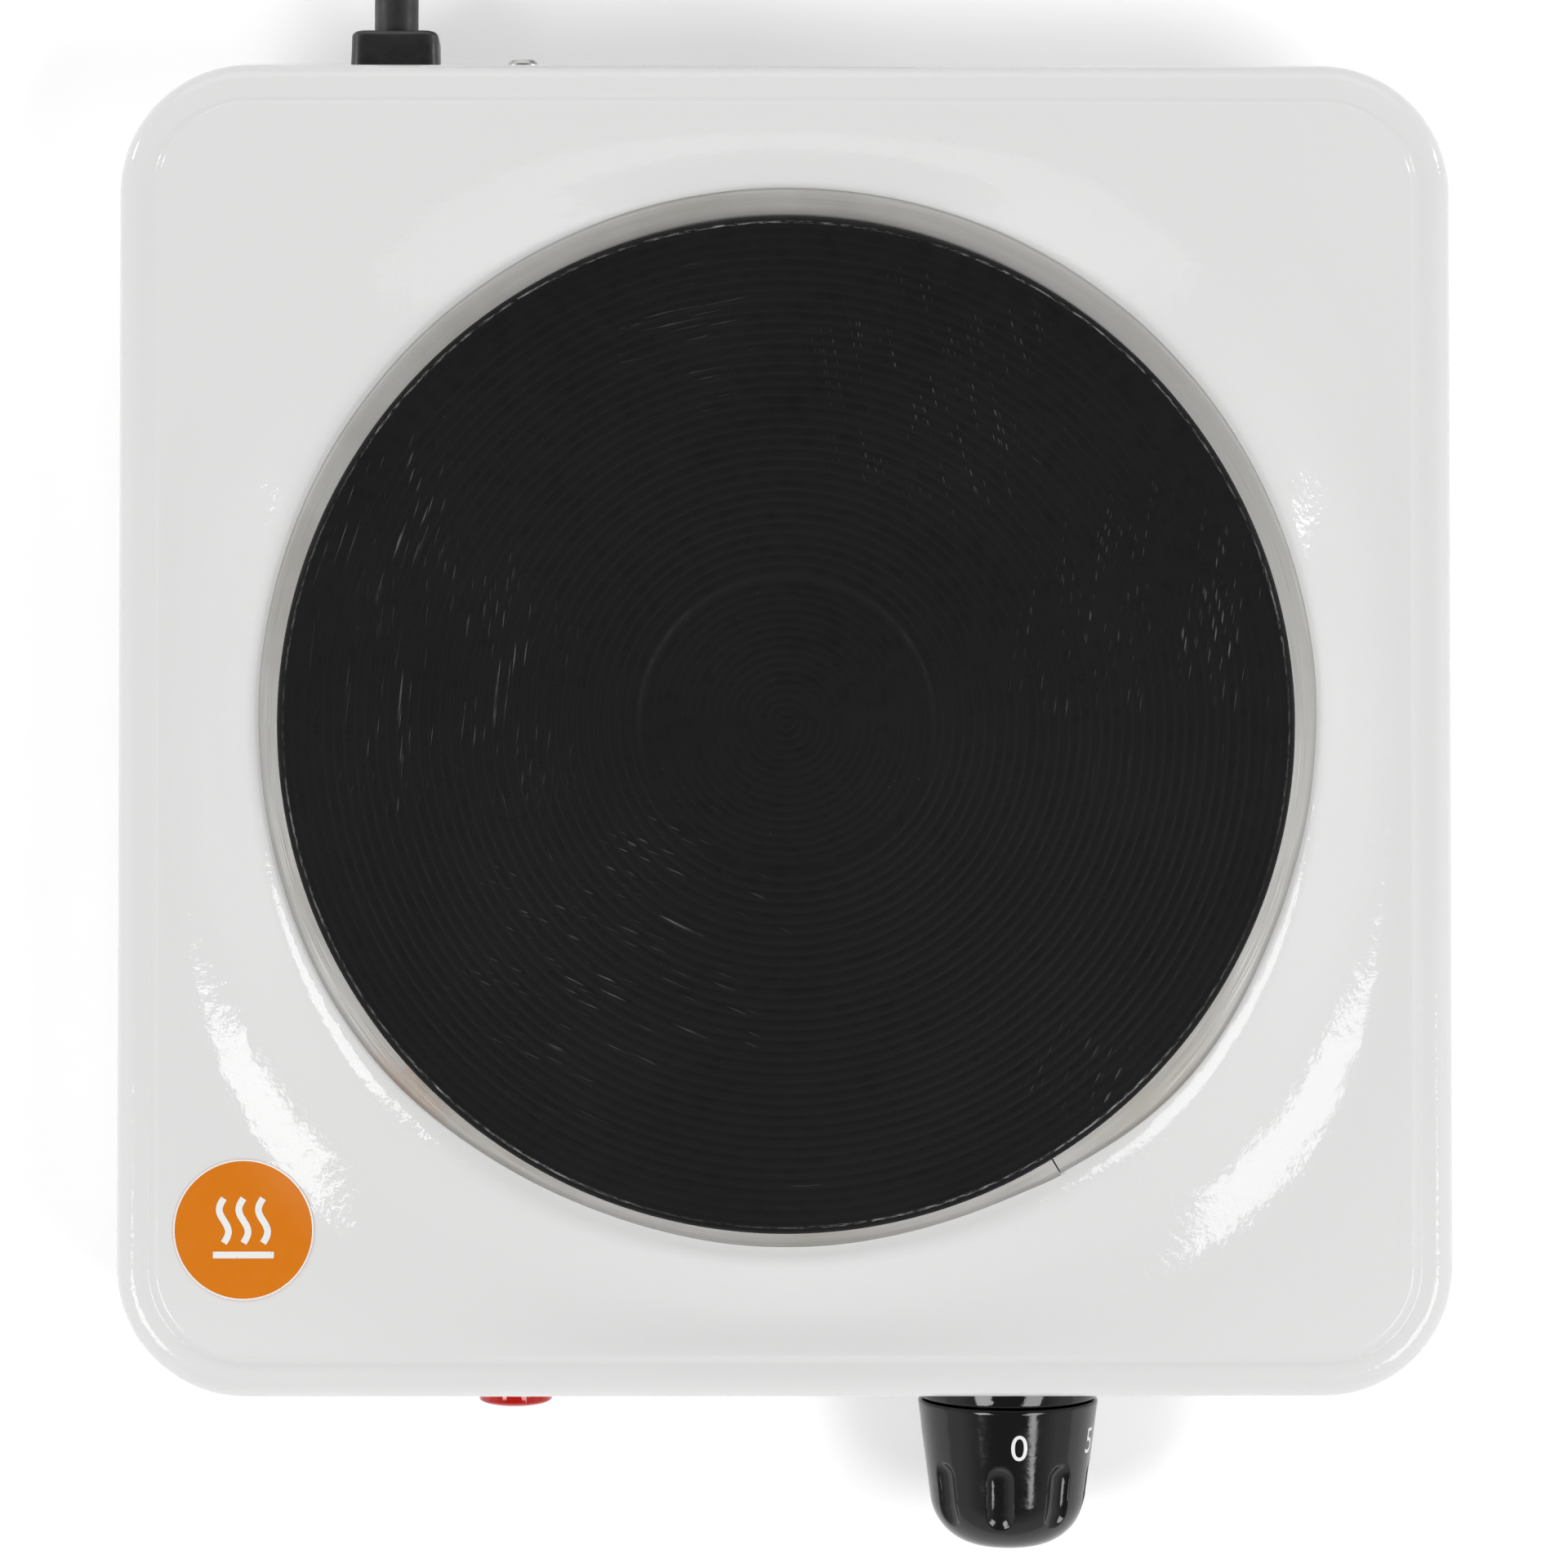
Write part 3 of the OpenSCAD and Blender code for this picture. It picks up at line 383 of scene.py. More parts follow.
def zinc_plate():
    """Galvanised sheet with its crystal flakes."""
    p = Paint("zinc_steel", (0.60, 0.60, 0.585), 0.34, 0.95)
    flake = p.add("ShaderNodeSeparateColor", {0: p.voronoi(260, "Color")}).outputs[0]
    p.tint(p.mix(flake, (0.53, 0.53, 0.52), (0.66, 0.66, 0.645)))
    p.rough(p.range(p.noise(140, 4), 0.3, 0.7, 0.26, 0.44))
    p.bump(p.noise(1600, 3), 0.00001)
    return p.material


def gloss_black():
    """Polished moulded plastic, with the slight waviness of a moulding."""
    p = Paint("black_gloss_plastic", (0.006, 0.006, 0.0062), 0.08, Specular_IOR_Level=0.38)
    p.rough(p.range(p.noise(260, 5, 0.65), 0.35, 0.75, 0.06, 0.15))
    p.tint(p.mix(p.noise(60, 3), (0.005, 0.005, 0.0053), (0.008, 0.008, 0.0084)))
    fine = p.math("ADD", p.noise(420, 3), p.math("MULTIPLY", p.noise(2200, 2), 0.15))
    p.bump(fine, 0.00003)
    return p.material


def red_clear():
    """Clear red moulded plastic."""
    p = Paint("red_lens", (0.62, 0.012, 0.008), 0.08, Transmission_Weight=0.45, IOR=1.49)
    p.tint(p.mix(p.noise(300, 2), (0.56, 0.009, 0.006), (0.68, 0.016, 0.010)))
    p.rough(p.range(p.noise(900, 3), 0.3, 0.7, 0.06, 0.12))
    p.bump(p.noise(500, 2), 0.00002)
    return p.material


def cord_pvc():
    """The matt sheath of the cord and its plug."""
    p = Paint("black_pvc", (0.013, 0.013, 0.0135), 0.42)
    p.tint(p.mix(p.noise(70, 4), (0.010, 0.010, 0.0105), (0.017, 0.017, 0.0175)))
    p.rough(p.range(p.noise(240, 4), 0.3, 0.7, 0.34, 0.52))
    skin = p.math("ADD", p.noise(2600, 2), p.math("MULTIPLY", p.noise(500, 3), 0.8))
    p.bump(skin, 0.00003)
    return p.material


def woven(name, colour, pitch):
    """A plain weave of two crossing sets of threads."""
    p = Paint(name, colour, 0.85, Sheen_Weight=0.3)
    split = p.add("ShaderNodeSeparateXYZ", {0: p.where})
    across = p.math("ADD", split.outputs[0], split.outputs[1])
    along = p.math("SUBTRACT", split.outputs[1], split.outputs[2])
    warp = p.math("SINE", p.math("MULTIPLY", across, TURN / pitch))
    weft = p.math("SINE", p.math("MULTIPLY", along, TURN / pitch))
    threads = p.range(p.math("MULTIPLY", warp, weft), -1, 1)
    p.tint(p.mix(threads, tuple(c * 0.6 for c in colour), colour))
    p.bump(p.math("ADD", threads, p.math("MULTIPLY", p.noise(3000, 2), 0.3)), 0.00012)
    return p.material


def printed_white():
    """White ink, rubbed thin in spots."""
    p = Paint("printed_white", (0.72, 0.72, 0.70), 0.42)
    wear_and_edge_highlight = p.range(p.noise(1800, 4, 0.7), 0.62, 0.74)
    p.tint(p.mix(wear_and_edge_highlight, (0.74, 0.74, 0.72), (0.34, 0.34, 0.33)))
    p.bump(p.noise(2500, 2), 0.00001)
    return p.material


def label_film():
    """Orange vinyl film."""
    p = Paint("orange_label", (0.60, 0.165, 0.006), 0.42, Specular_IOR_Level=0.2)
    p.tint(p.mix(p.noise(120, 4), (0.585, 0.158, 0.001), (0.615, 0.17, 0.002)))
    p.rough(p.range(p.noise(500, 3), 0.3, 0.7, 0.34, 0.48))
    p.bump(p.noise(800, 3), 0.00002)
    return p.material


# ---------------------------------------------------------------- shapes that several pieces share
def slope_profile(r, start, shoulder, steep_end, foot):
    """Drop from the seat at radius r, as a share of the whole, for a slope that ramps up and down."""
    whole = (shoulder - start) / 2 + (steep_end - shoulder) + (foot - steep_end) / 2
    if r <= start:
        return 0.0
    if r >= foot:
        return 1.0
    if r <= shoulder:
        done = (r - start) ** 2 / (2 * (shoulder - start))
    elif r <= steep_end:
        done = (shoulder - start) / 2 + (r - shoulder)
    else:
        done = whole - (foot - r) ** 2 / (2 * (foot - steep_end))
    return done / whole


def cover_height(x, y):
    """Height of the cover inside its step: the dome flares out towards the corners."""
    r = math.hypot(x - plate_x, y - plate_y)
    a = math.atan2(y - plate_y, x - plate_x)
    corner = abs(math.sin(2 * a)) ** 2.4
    foot = (113.5 + 17.5 * corner) * MM
    shoulder = (100.0 + 1.5 * corner) * MM
    steep_end = (103.5 + 8.5 * corner) * MM
    share = slope_profile(r, dome_seat_r, shoulder, steep_end, foot)
    # Pressing and firing leave the sheet very slightly wavy
    wave = 0.03 * MM * noise.noise(Vector((x, y, 0)) * 55) * smooth((r - 0.1) / 0.02)
    return seat_z + (field_z - seat_z) * share + wave


# ---------------------------------------------------------------- cord
def route(*points):
    return [Vector(p) * MM for p in points]


# The route in mm, as in the CAD: from inside the strain relief to the coil, and from the coil to the plug
LEAD = route(
    (-73.5, 118, 28.9), (-73.5, 130, 28), (-73.5, 142, 27), (-73.5, 150, 26.3),
    (-73.4, 160, 25), (-73.2, 171, 22.4), (-72.8, 182, 18.4), (-72.2, 193, 13.6),
    (-71.4, 204, 9.2), (-70.5, 215, 6.2), (-69.6, 226, 5),
)
TAIL = route(
    (-20, 276, 13.4), (-8, 276, 13.2), (4, 275.8, 13.4), (16, 275.6, 14.6),
    (28, 275.5, 16.6), (38, 275.5, 18),
)
CORD_D = 8.3 * MM
COIL_CENTRE = Vector((-20, 226, 0)) * MM
COIL_TURNS = 3.25
LAYER_TURNS = 1.6
POINTS_PER_TURN = 20


def coil_point(turn):
    """Two flat layers: inwards on the first, then up and outwards on the second."""
    spacing = 8.35 * MM
    outer, inner = 49.6 * MM, 36.3 * MM
    if turn < LAYER_TURNS:
        r = outer - spacing * turn
    else:
        r = inner + spacing * (turn - LAYER_TURNS)
    climb = smooth((turn - LAYER_TURNS + 0.2) / 0.4)
    a = math.pi - TURN * turn
    z = 5.0 * MM + 8.4 * MM * climb
    return COIL_CENTRE + Vector((r * math.cos(a), r * math.sin(a), z))


coil_steps = round(COIL_TURNS * POINTS_PER_TURN)
coil = [coil_point(COIL_TURNS * i / coil_steps) for i in range(1, coil_steps)]
cord_line = LEAD + coil + TAIL


def cord_piece(name, line):
    """A round cord along one smooth curve. Each point's radius is the cord's, in metres."""
    curve = bpy.data.curves.new(name, "CURVE")
    curve.dimensions = "3D"
    spline = curve.splines.new("BEZIER")
    spline.bezier_points.add(len(line) - 1)
    for point, where in zip(spline.bezier_points, line):
        point.co = where
        point.handle_left_type = point.handle_right_type = "AUTO"
        point.radius = CORD_D / 2
    spline.resolution_u = 4
    curve.bevel_depth = 1
    curve.bevel_resolution = 7
    curve.use_fill_caps = True
    piece = bpy.data.objects.new(name, curve)
    bpy.context.scene.collection.objects.link(piece)
    return piece


pvc = cord_pvc()
cord = finished(
    cord_piece("mains_cord", cord_line),
    "power_cord", "cord_coil", "cord_tail",
    slot="black_pvc", material=pvc,
)


# ---------------------------------------------------------------- enamelled cover
def outline_columns():
    """Base point and outward direction of each column of the rounded square's offsets."""
    corner_steps, side_steps = 28, 56
    columns = []
    for k in range(4):
        turn = k * math.pi / 2
        at = Vector((corner_c, corner_c, 0))
        at.rotate(Matrix.Rotation(turn, 3, "Z"))
        for i in range(corner_steps + 1):
            a = turn + math.pi / 2 * i / corner_steps
            columns.append((at, Vector((math.cos(a), math.sin(a), 0))))
        after = Vector((-corner_c, corner_c, 0))
        after.rotate(Matrix.Rotation(turn, 3, "Z"))
        out = Vector((math.cos(turn + math.pi / 2), math.sin(turn + math.pi / 2), 0))
        for i in range(1, side_steps):
            columns.append((at.lerp(after, i / side_steps), out))
    return columns


def border_path():
    """Offset and height from the step's inner side, over the edge and down to the bottom flange."""
    step_half = 1.0 * MM
    path = [
        (step_d - step_half + 2 * step_half * i / 10, field_z + (ledge_z - field_z) * smooth(i / 10))
        for i in range(11)
    ]
    path += [(step_d + 2.2 * MM, ledge_z), (edge_d - 0.4 * MM, ledge_z)]
    path += arc((edge_d, edge_z), edge_r, 90, -math.degrees(draft), 14)
    bend = 1.2 * MM
    low = base_z + bend
    for share in (0.3, 0.6, 0.85, 1.0):  # down the wall
        z = edge_z + (low - edge_z) * share
        path.append((wall_d(z), z))
    foot_d = wall_d(low) - bend
    path += arc((foot_d, low), bend, -15, -90, 5)
    path += [(foot_d - 3 * MM, base_z), (foot_d - 6.5 * MM, base_z)]
    return path


def cover_rings():
    """Rings from the plate's opening out over the dome and the field, then along the border."""
    columns = outline_columns()
    centre = Vector((plate_x, plate_y, 0))
    border = border_path()
    first_d = border[0][0]
    dome_rings, crowding = 58, 1.15
    rings = []
    for i in range(dome_rings):
        share = (i / dome_rings) ** crowding
        ring = []
        for at, out in columns:
            far = at + out * first_d
            reach = opening_r + (far.length - opening_r) * share
            p = centre + far.normalized() * reach
            ring.append((p.x, p.y, cover_height(p.x, p.y)))
        rings.append(ring)
    for d, z in border:
        rings.append([tuple(centre + at + out * d + Vector((0, 0, z))) for at, out in columns])
    return rings


def hole_cutters(name, holes):
    """Short rods, one where each hole goes, as one object."""
    work = bmesh.new()
    for place, radius in holes:
        bmesh.ops.create_cone(
            work, cap_ends=True, segments=48, radius1=radius, radius2=radius, depth=6 * MM, matrix=place
        )
    mesh = bpy.data.meshes.new(name)
    work.to_mesh(mesh)
    work.free()
    cutters = bpy.data.objects.new(name, mesh)
    bpy.context.scene.collection.objects.link(cutters)
    return cutters


def enamel_cover():
    """The pressed sheet, with its thickness and with holes for all that goes through its walls."""
    shaft_hole_r, screw_hole_r, screw_out = 5.2 * MM, 2.1 * MM, 11 * MM
    lamp_hole_r, gland_hole_r, earth_hole_r = 4.9 * MM, 6.6 * MM, 1.6 * MM
    points, faces = bands(cover_rings())
    cover = mesh_piece("enamel_cover", points, faces, crease=60)
    thick = cover.modifiers.new("sheet", "SOLIDIFY")
    thick.thickness = sheet
    thick.offset = -1
    earth_low, earth_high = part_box("earth_screw")
    earth_place = on_back_wall(earth_low, earth_high, (earth_low.z + earth_high.z) / 2)
    cutters = hole_cutters("cover_cuts", [
        (knob_place, shaft_hole_r),
        (knob_place @ Matrix.Translation((screw_out, 0, 0)), screw_hole_r),
        (knob_place @ Matrix.Translation((-screw_out, 0, 0)), screw_hole_r),
        (lamp_place, lamp_hole_r), (gland_place, gland_hole_r), (earth_place, earth_hole_r),
    ])
    bore = cover.modifiers.new("holes", "BOOLEAN")
    bore.object = cutters
    bore.operation = "DIFFERENCE"
    bore.solver = "EXACT"
    bpy.context.view_layer.update()
    shaped = cover.evaluated_get(bpy.context.evaluated_depsgraph_get())
    mesh = bpy.data.meshes.new_from_object(shaped)
    cover.modifiers.clear()
    cover.data = mesh
    mesh.shade_smooth()
    mesh.set_sharp_from_angle(angle=math.radians(40))
    bpy.data.objects.remove(cutters)
    return cover


finished(enamel_cover(), "housing", slot="white_enamel", material=white_enamel())


# ---------------------------------------------------------------- cast-iron plate
def groove_drop(r):
    """Depth of the turned grooves at a radius: shallow at the edge, finer in the sunk middle."""
    recess_r, edge_band_r = 26.5 * MM, 85.5 * MM
    pitch, depth = (GROOVE_PITCH, 0.1 * MM) if r > recess_r else (1.6 * MM, 0.06 * MM)
    if r > edge_band_r:
        depth = 0.05 * MM
    wave = 0.5 + 0.5 * math.cos(TURN * r / pitch)
    sunk = 0.3 * MM * smooth((recess_r + 0.6 * MM - r) / (0.9 * MM))
    return depth * wave**2.2 + sunk


def plate_outline():
    """Half section: grooved top, rounded edge, and the skirt that reaches down inside the ring."""
    flat_r = plate_r - 1.3 * MM
    edge_arc = 1.4 * MM
    edge_r_in = plate_r - edge_arc
    count = int(flat_r / (0.24 * MM))
    top = [(flat_r * i / count, top_z - groove_drop(flat_r * i / count)) for i in range(count)]
    rim_under, skirt_low, hollow_top = top_z - 3.7 * MM, top_z - 18 * MM, top_z - 14 * MM
    skirt_r = plate_r - 4.2 * MM
    return top + arc((edge_r_in, top_z - edge_arc), edge_arc, 90, 0, 7) + [
        (plate_r, rim_under + 0.3 * MM), (plate_r - 0.3 * MM, rim_under),
        (skirt_r + 0.4 * MM, rim_under), (skirt_r, rim_under - 0.4 * MM),
        (skirt_r, skirt_low), (skirt_r - 3.6 * MM, skirt_low),
        (skirt_r - 3.8 * MM, hollow_top), (0, hollow_top),
    ]


finished(
    lathe("cast_plate", plate_outline(), 400, Matrix.Translation((plate_x, plate_y, 0)), crease=40),
    "heating_plate", slot="cast_iron", material=cast_iron(),
)


# ---------------------------------------------------------------- stainless ring
RING_SEAM = math.radians(300.7)
RING_CENTRE = Vector((plate_x + 0.35 * MM, plate_y + 1.9 * MM, 0))
# Where the ring is out of round: direction in degrees, how far it stands out in mm, and width in degrees
RING_BULGES = [(218, 1.6, 20), (317, 2.1, 15), (268, 0.45, 18)]


def ring_bend(r, a):
    """Radius at an angle: the ring bulges at the front left, the front right and, less, between."""
    degrees = math.degrees(a) % 360
    share = smooth((r - 91.5 * MM) / (5 * MM))
    proud = 0.35 + sum(out * bell(degrees - at, width) for at, out, width in RING_BULGES)
    proud += 0.08 * noise.noise(Vector((math.cos(a) * 6, math.sin(a) * 6, 0)))
    return r + share * proud * MM


def ring_outline():
    """Section of the ring: a collar round the plate, a crown, and a lip that turns down to the cover."""
    t = 0.6 * MM
    r, foot = 96.3 * MM, seat_z
    outer = [(90.6 * MM, foot - 3.6 * MM), (90.6 * MM, foot + 2.6 * MM)]
    outer += arc((91.4 * MM, foot + 2.6 * MM), 0.8 * MM, 170, 75, 5)
    outer += [(93.0 * MM, foot + 3.0 * MM), (94.2 * MM, foot + 2.55 * MM)]
    outer += arc((r - 1.7 * MM, foot + 0.75 * MM), 1.7 * MM, 62, 0, 6)
    outer += [(r, foot + 0.05 * MM)]
    inner = [(r - t, foot + 0.05 * MM)]
    inner += arc((r - 1.7 * MM, foot + 0.75 * MM), 1.7 * MM - t, 0, 62, 6)
    inner += [(94.0 * MM, foot + 1.95 * MM), (92.9 * MM, foot + 2.35 * MM)]
    inner += [(91.4 * MM, foot + 2.7 * MM), (91.2 * MM, foot + 2.4 * MM), (91.2 * MM, foot - 3.6 * MM)]
    return outer + inner


def steel_ring():
    """Turned like a lathe piece, but open at its butt seam."""
    outline = ring_outline()
    steps, gap = 360, math.radians(0.16)
    columns = []
    for j in range(steps + 1):
        a = RING_SEAM + gap / 2 + (TURN - gap) * j / steps
        # One end of the seam stands a little proud of the other
        lift = 0.35 * MM * bell((j - steps) / steps, 0.01)
        column = []
        for r, z in outline:
            out = ring_bend(r, a) + lift * smooth((r - 93 * MM) / (3 * MM))
            column.append(tuple(RING_CENTRE + Vector((out * math.cos(a), out * math.sin(a), z))))
        columns.append(column)
    points, faces = bands(columns)
    count = len(outline)
    faces.append(tuple(range(count)))
    faces.append(tuple(range(len(points) - 1, len(points) - count - 1, -1)))
    return mesh_piece("steel_ring", points, faces, crease=50)


finished(steel_ring(), "trim_ring", slot="stainless", material=spun_steel())


# ---------------------------------------------------------------- knob, its numbers and its collar
# R is a radius about the shaft, and W a distance out from the wall
KNOB_R = 16.9 * MM
RIM_W = 2.9 * MM
SIDE_W = 3.4 * MM
SHOULDER_R, SHOULDER_W = 14.6 * MM, 21.4 * MM
NOSE_W = 30.9 * MM
KNOB_ARC = 10.5 * MM
KNOB_TAPER = math.atan((KNOB_R - SHOULDER_R) / (SHOULDER_W - RIM_W))
FLUTES = 8
FLUTE_PHASE = math.radians(-8)


def knob_outline():
    """Half section: hollow back, rim, tapered side, round shoulder and slightly domed nose."""
    centre = (
        SHOULDER_R - KNOB_ARC * math.cos(KNOB_TAPER), SHOULDER_W - KNOB_ARC * math.sin(KNOB_TAPER)
    )
    side = [
        (KNOB_R + (SHOULDER_R - KNOB_R) * i / 40, SIDE_W + (SHOULDER_W - SIDE_W) * i / 40)
        for i in range(41)
    ]
    crown = arc(centre, KNOB_ARC, math.degrees(KNOB_TAPER), 80, 34)[1:]
    last_r, last_w = crown[-1]
    nose = [
        (last_r * (1 - i / 6), last_w + (NOSE_W - last_w) * (1 - (1 - i / 6) ** 2)) for i in range(1, 7)
    ]
    rim = [(KNOB_R - 2 * MM, RIM_W), (KNOB_R - 0.45 * MM, RIM_W), (KNOB_R - 0.12 * MM, RIM_W + 0.14 * MM)]
    inside = [
        (0, NOSE_W - 3 * MM), (SHOULDER_R - 7 * MM, NOSE_W - 3.4 * MM),
        (SHOULDER_R - 2 * MM, SHOULDER_W - 1 * MM),
    ]
    return inside + rim + side + crown + nose


def knob_bend(r, w, a):
    """Eight round-ended flutes pressed into the side, each with a crisp edge."""
    if r < 6 * MM or w < 12 * MM:
        return r, w
    start, end, half = 16.4 * MM, 23.2 * MM, 2.6 * MM
    deep, crispness = 1.25 * MM, 0.8
    spacing = TURN / FLUTES
    # Counted from the top of the knob towards local X
    from_top = math.pi / 2 - a - FLUTE_PHASE
    off = (from_top + spacing / 2) % spacing - spacing / 2
    far = math.hypot(off * r, max(start - w, 0, w - end)) / half
    if far >= 1:
        return r, w
    dip = deep * (1 - far * far) ** crispness
    lean = smooth((w - SHOULDER_W) / (9 * MM))
    return r - dip * (1 - 0.5 * lean), w - dip * lean * 0.4


black = gloss_black()
finished(
    lathe("control_knob", knob_outline(), 480, knob_place, knob_bend, crease=50),
    "knob", body="knob_assembly", slot="black_gloss_plastic", material=black,
)


def knob_side(w):
    """Radius of the knob's tapered side."""
    return KNOB_R + (SHOULDER_R - KNOB_R) * (w - SIDE_W) / (SHOULDER_W - SIDE_W)


def dial_number(text, degrees):
    """A number printed on the knob's side, with its top towards the wall."""
    curve = bpy.data.curves.new("dial_text", "FONT")
    curve.body = text
    curve.size = 6.9 * MM
    curve.align_x = "CENTER"
    curve.resolution_u = 8
    letters = bpy.data.objects.new("dial_text", curve)
    flat = bpy.data.meshes.new_from_object(letters)
    bpy.data.objects.remove(letters)
    bpy.data.curves.remove(curve)
    work = bmesh.new()
    work.from_mesh(flat)
    bmesh.ops.triangulate(work, faces=work.faces)
    # Short edges, so that the number can bend round the knob
    for _ in range(3):
        long_edges = [e for e in work.edges if e.calc_length() > 0.6 * MM]
        bmesh.ops.subdivide_edges(work, edges=long_edges, cuts=1)
        bmesh.ops.triangulate(work, faces=work.faces)
    baseline_w = 12.4 * MM
    thick = 0.05 * MM
    for v in work.verts:
        w = baseline_w - v.co.y
        r = knob_side(w) + thick
        a = math.radians(degrees) + v.co.x / r
        v.co = knob_place @ Vector((r * math.sin(a), r * math.cos(a), w))
    work.to_mesh(flat)
    work.free()
    number = bpy.data.objects.new(f"dial_{text}", flat)
    bpy.context.scene.collection.objects.link(number)
    return number


ink = printed_white()
# Directions of the numbers on the knob, in degrees from its top: 0, then 1, and the step to the next
DIAL_OFF, DIAL_FIRST, DIAL_STEP = 5.0, -88.0, -51.1
for mark in range(6):
    number = dial_number(str(mark), DIAL_FIRST + DIAL_STEP * (mark - 1) if mark else DIAL_OFF)
    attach(number, "knob_assembly")
    number.data.materials.append(ink)


def collar_outline():
    """A thin disc with a rim that stands on the wall."""
    out, rim_in, hole_r = 16.65 * MM, 15.4 * MM, 5.4 * MM
    front, wall, corner = 2.6 * MM, 0.02 * MM, 0.5 * MM
    back = front - 0.6 * MM
    inside = [(hole_r, back), (rim_in - 0.2 * MM, back), (rim_in, back - 0.2 * MM), (rim_in, wall)]
    outside = [(out, wall), (out, 1.0 * MM)] + arc((out - corner, front - corner), corner, 0, 90, 6)
    return inside + outside + [(10 * MM, front), (hole_r, front)]


finished(
    lathe("knob_collar", collar_outline(), 160, knob_place),
    "knob_bezel", slot="black_gloss_plastic", material=black,
)


# ---------------------------------------------------------------- lamp
def lens_outline():
    """A domed cap with a hollow stem that goes through the wall."""
    out, side, nose = 6.85 * MM, 2.9 * MM, 4.3 * MM
    stem, stem_in, stem_end, wall = 4.8 * MM, 3.4 * MM, -9 * MM, 0.02 * MM
    hollow_end = 2.6 * MM
    dome = [
        (out * math.cos(a), side + (nose - side) * math.sin(a))
        for a in (math.radians(90 * i / 12) for i in range(12))
    ]
    hollow = [(0, hollow_end), (stem_in, hollow_end), (stem_in, stem_end)]
    outside = [(stem, stem_end), (stem, wall), (out - 0.3 * MM, wall), (out, 0.3 * MM)]
    return hollow + outside + dome + [(0, nose)]


def lens_bend(r, w, a):
    """Fine ribs round the lens's side spread the light."""
    ribs, deep = 48, 0.06 * MM
    if r > 6 * MM and w < 2.3 * MM:
        return r - deep * (0.5 + 0.5 * math.cos(ribs * a)), w
    return r, w


finished(
    lathe("lamp_cap", lens_outline(), 192, lamp_place, lens_bend),
    "lamp_lens", slot="red_lens", material=red_clear(),
)


# ---------------------------------------------------------------- strain relief
def round_rectangle(w, h, r, count):
    """Points of a rounded rectangle at even angles about its middle."""
    ring = []
    for j in range(count):
        a = TURN * j / count
        dx, dy = math.cos(a), math.sin(a)
        low, high = 0.0, w + h
        for _ in range(30):
            mid = (low + high) / 2
            qx, qy = abs(dx * mid) - (w / 2 - r), abs(dy * mid) - (h / 2 - r)
            outside = math.hypot(max(qx, 0), max(qy, 0)) + min(max(qx, qy), 0) - r
            low, high = (mid, high) if outside < 0 else (low, mid)
        ring.append((dx * low, dy * low))
    return ring


def strain_relief():
    """A block that grips the cord, drawn in slightly as it comes out, with a round neck in the wall."""
    count = 64
    head_w, head_h, head_l, corner = 17.2 * MM, 13 * MM, 9.9 * MM, 2.5 * MM
    neck_r, neck_l, bore = 6.5 * MM, 10.6 * MM, CORD_D / 2 + 0.05 * MM
    full = round_rectangle(head_w, head_h, corner, count)

    def circle(r, w):
        return [(r * math.cos(TURN * j / count), r * math.sin(TURN * j / count), w) for j in range(count)]

    def head(w, shrink=0.0):
        scale = 1 - 0.05 * w / head_l
        waist = 1 - 0.012 * math.sin(math.pi * w / head_l)
        ring = []
        for x, y in full:
            out = math.hypot(x, y)
            s = scale * waist * (out - shrink) / out
            ring.append((x * s, y * s, w))
        return ring

    fillet = 1.1 * MM
    rings = [circle(bore, -neck_l), circle(neck_r, -neck_l), circle(neck_r, 0.02 * MM)]
    rings += [head(0.02 * MM, 0.15 * MM), head(0.2 * MM)]
    rings += [head((0.2 + 1.0 * i) * MM) for i in range(1, 9)]
    for shrink, w in arc((fillet, head_l - fillet), fillet, 180, 90, 6):
        rings.append(head(w, shrink))
    rings += [circle(bore + 0.5 * MM, head_l), circle(bore, head_l - 0.4 * MM)]
    points, faces = bands(rings, closed=True)
    return mesh_piece("cord_grip", points, faces, gland_place, crease=45)


satin = plain("black_plastic", (0.014, 0.014, 0.0135), 0.36, grain=1400, depth=0.00003, spread=0.2)
finished(strain_relief(), "strain_relief", slot="black_plastic", material=satin)


# ---------------------------------------------------------------- sticker with a plain heat sign
label_low, label_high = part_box("caution_disc")
label_centre = (label_low + label_high) / 2
label_r = (label_high.x - label_low.x) / 2


def on_cover(x, y, lift):
    """A point on the cover, or lift above it, with x and y from the sticker's centre."""
    x, y = label_centre.x + x, label_centre.y + y
    return (x, y, cover_height(x, y) + lift)


def sticker(name, outer, inner, low, high):
    """A ring, or a disc with a pinhole, that follows the cover from height low to high above it."""
    steps, across = 120, 12
    radii = [inner + (outer - inner) * i / across for i in range(across + 1)]
    spots = [(r, high) for r in radii] + [(r, low) for r in reversed(radii)]
    round_about = [(math.cos(TURN * j / steps), math.sin(TURN * j / steps)) for j in range(steps)]
    rings = [[on_cover(r * x, r * y, lift) for x, y in round_about] for r, lift in spots]
    points, faces = bands(rings, closed=True)
    return mesh_piece(name, points, faces, crease=30)


def ribbon(middle, half):
    """Both sides of a stroke along a line of points, with square ends."""
    left, right = [], []
    for i, (x, y) in enumerate(middle):
        x0, y0 = middle[max(i - 1, 0)]
        x1, y1 = middle[min(i + 1, len(middle) - 1)]
        length = math.hypot(x1 - x0, y1 - y0)
        nx, ny = (y0 - y1) / length * half, (x1 - x0) / length * half
        left.append((x + nx, y + ny))
        right.append((x - nx, y - ny))
    return left, right


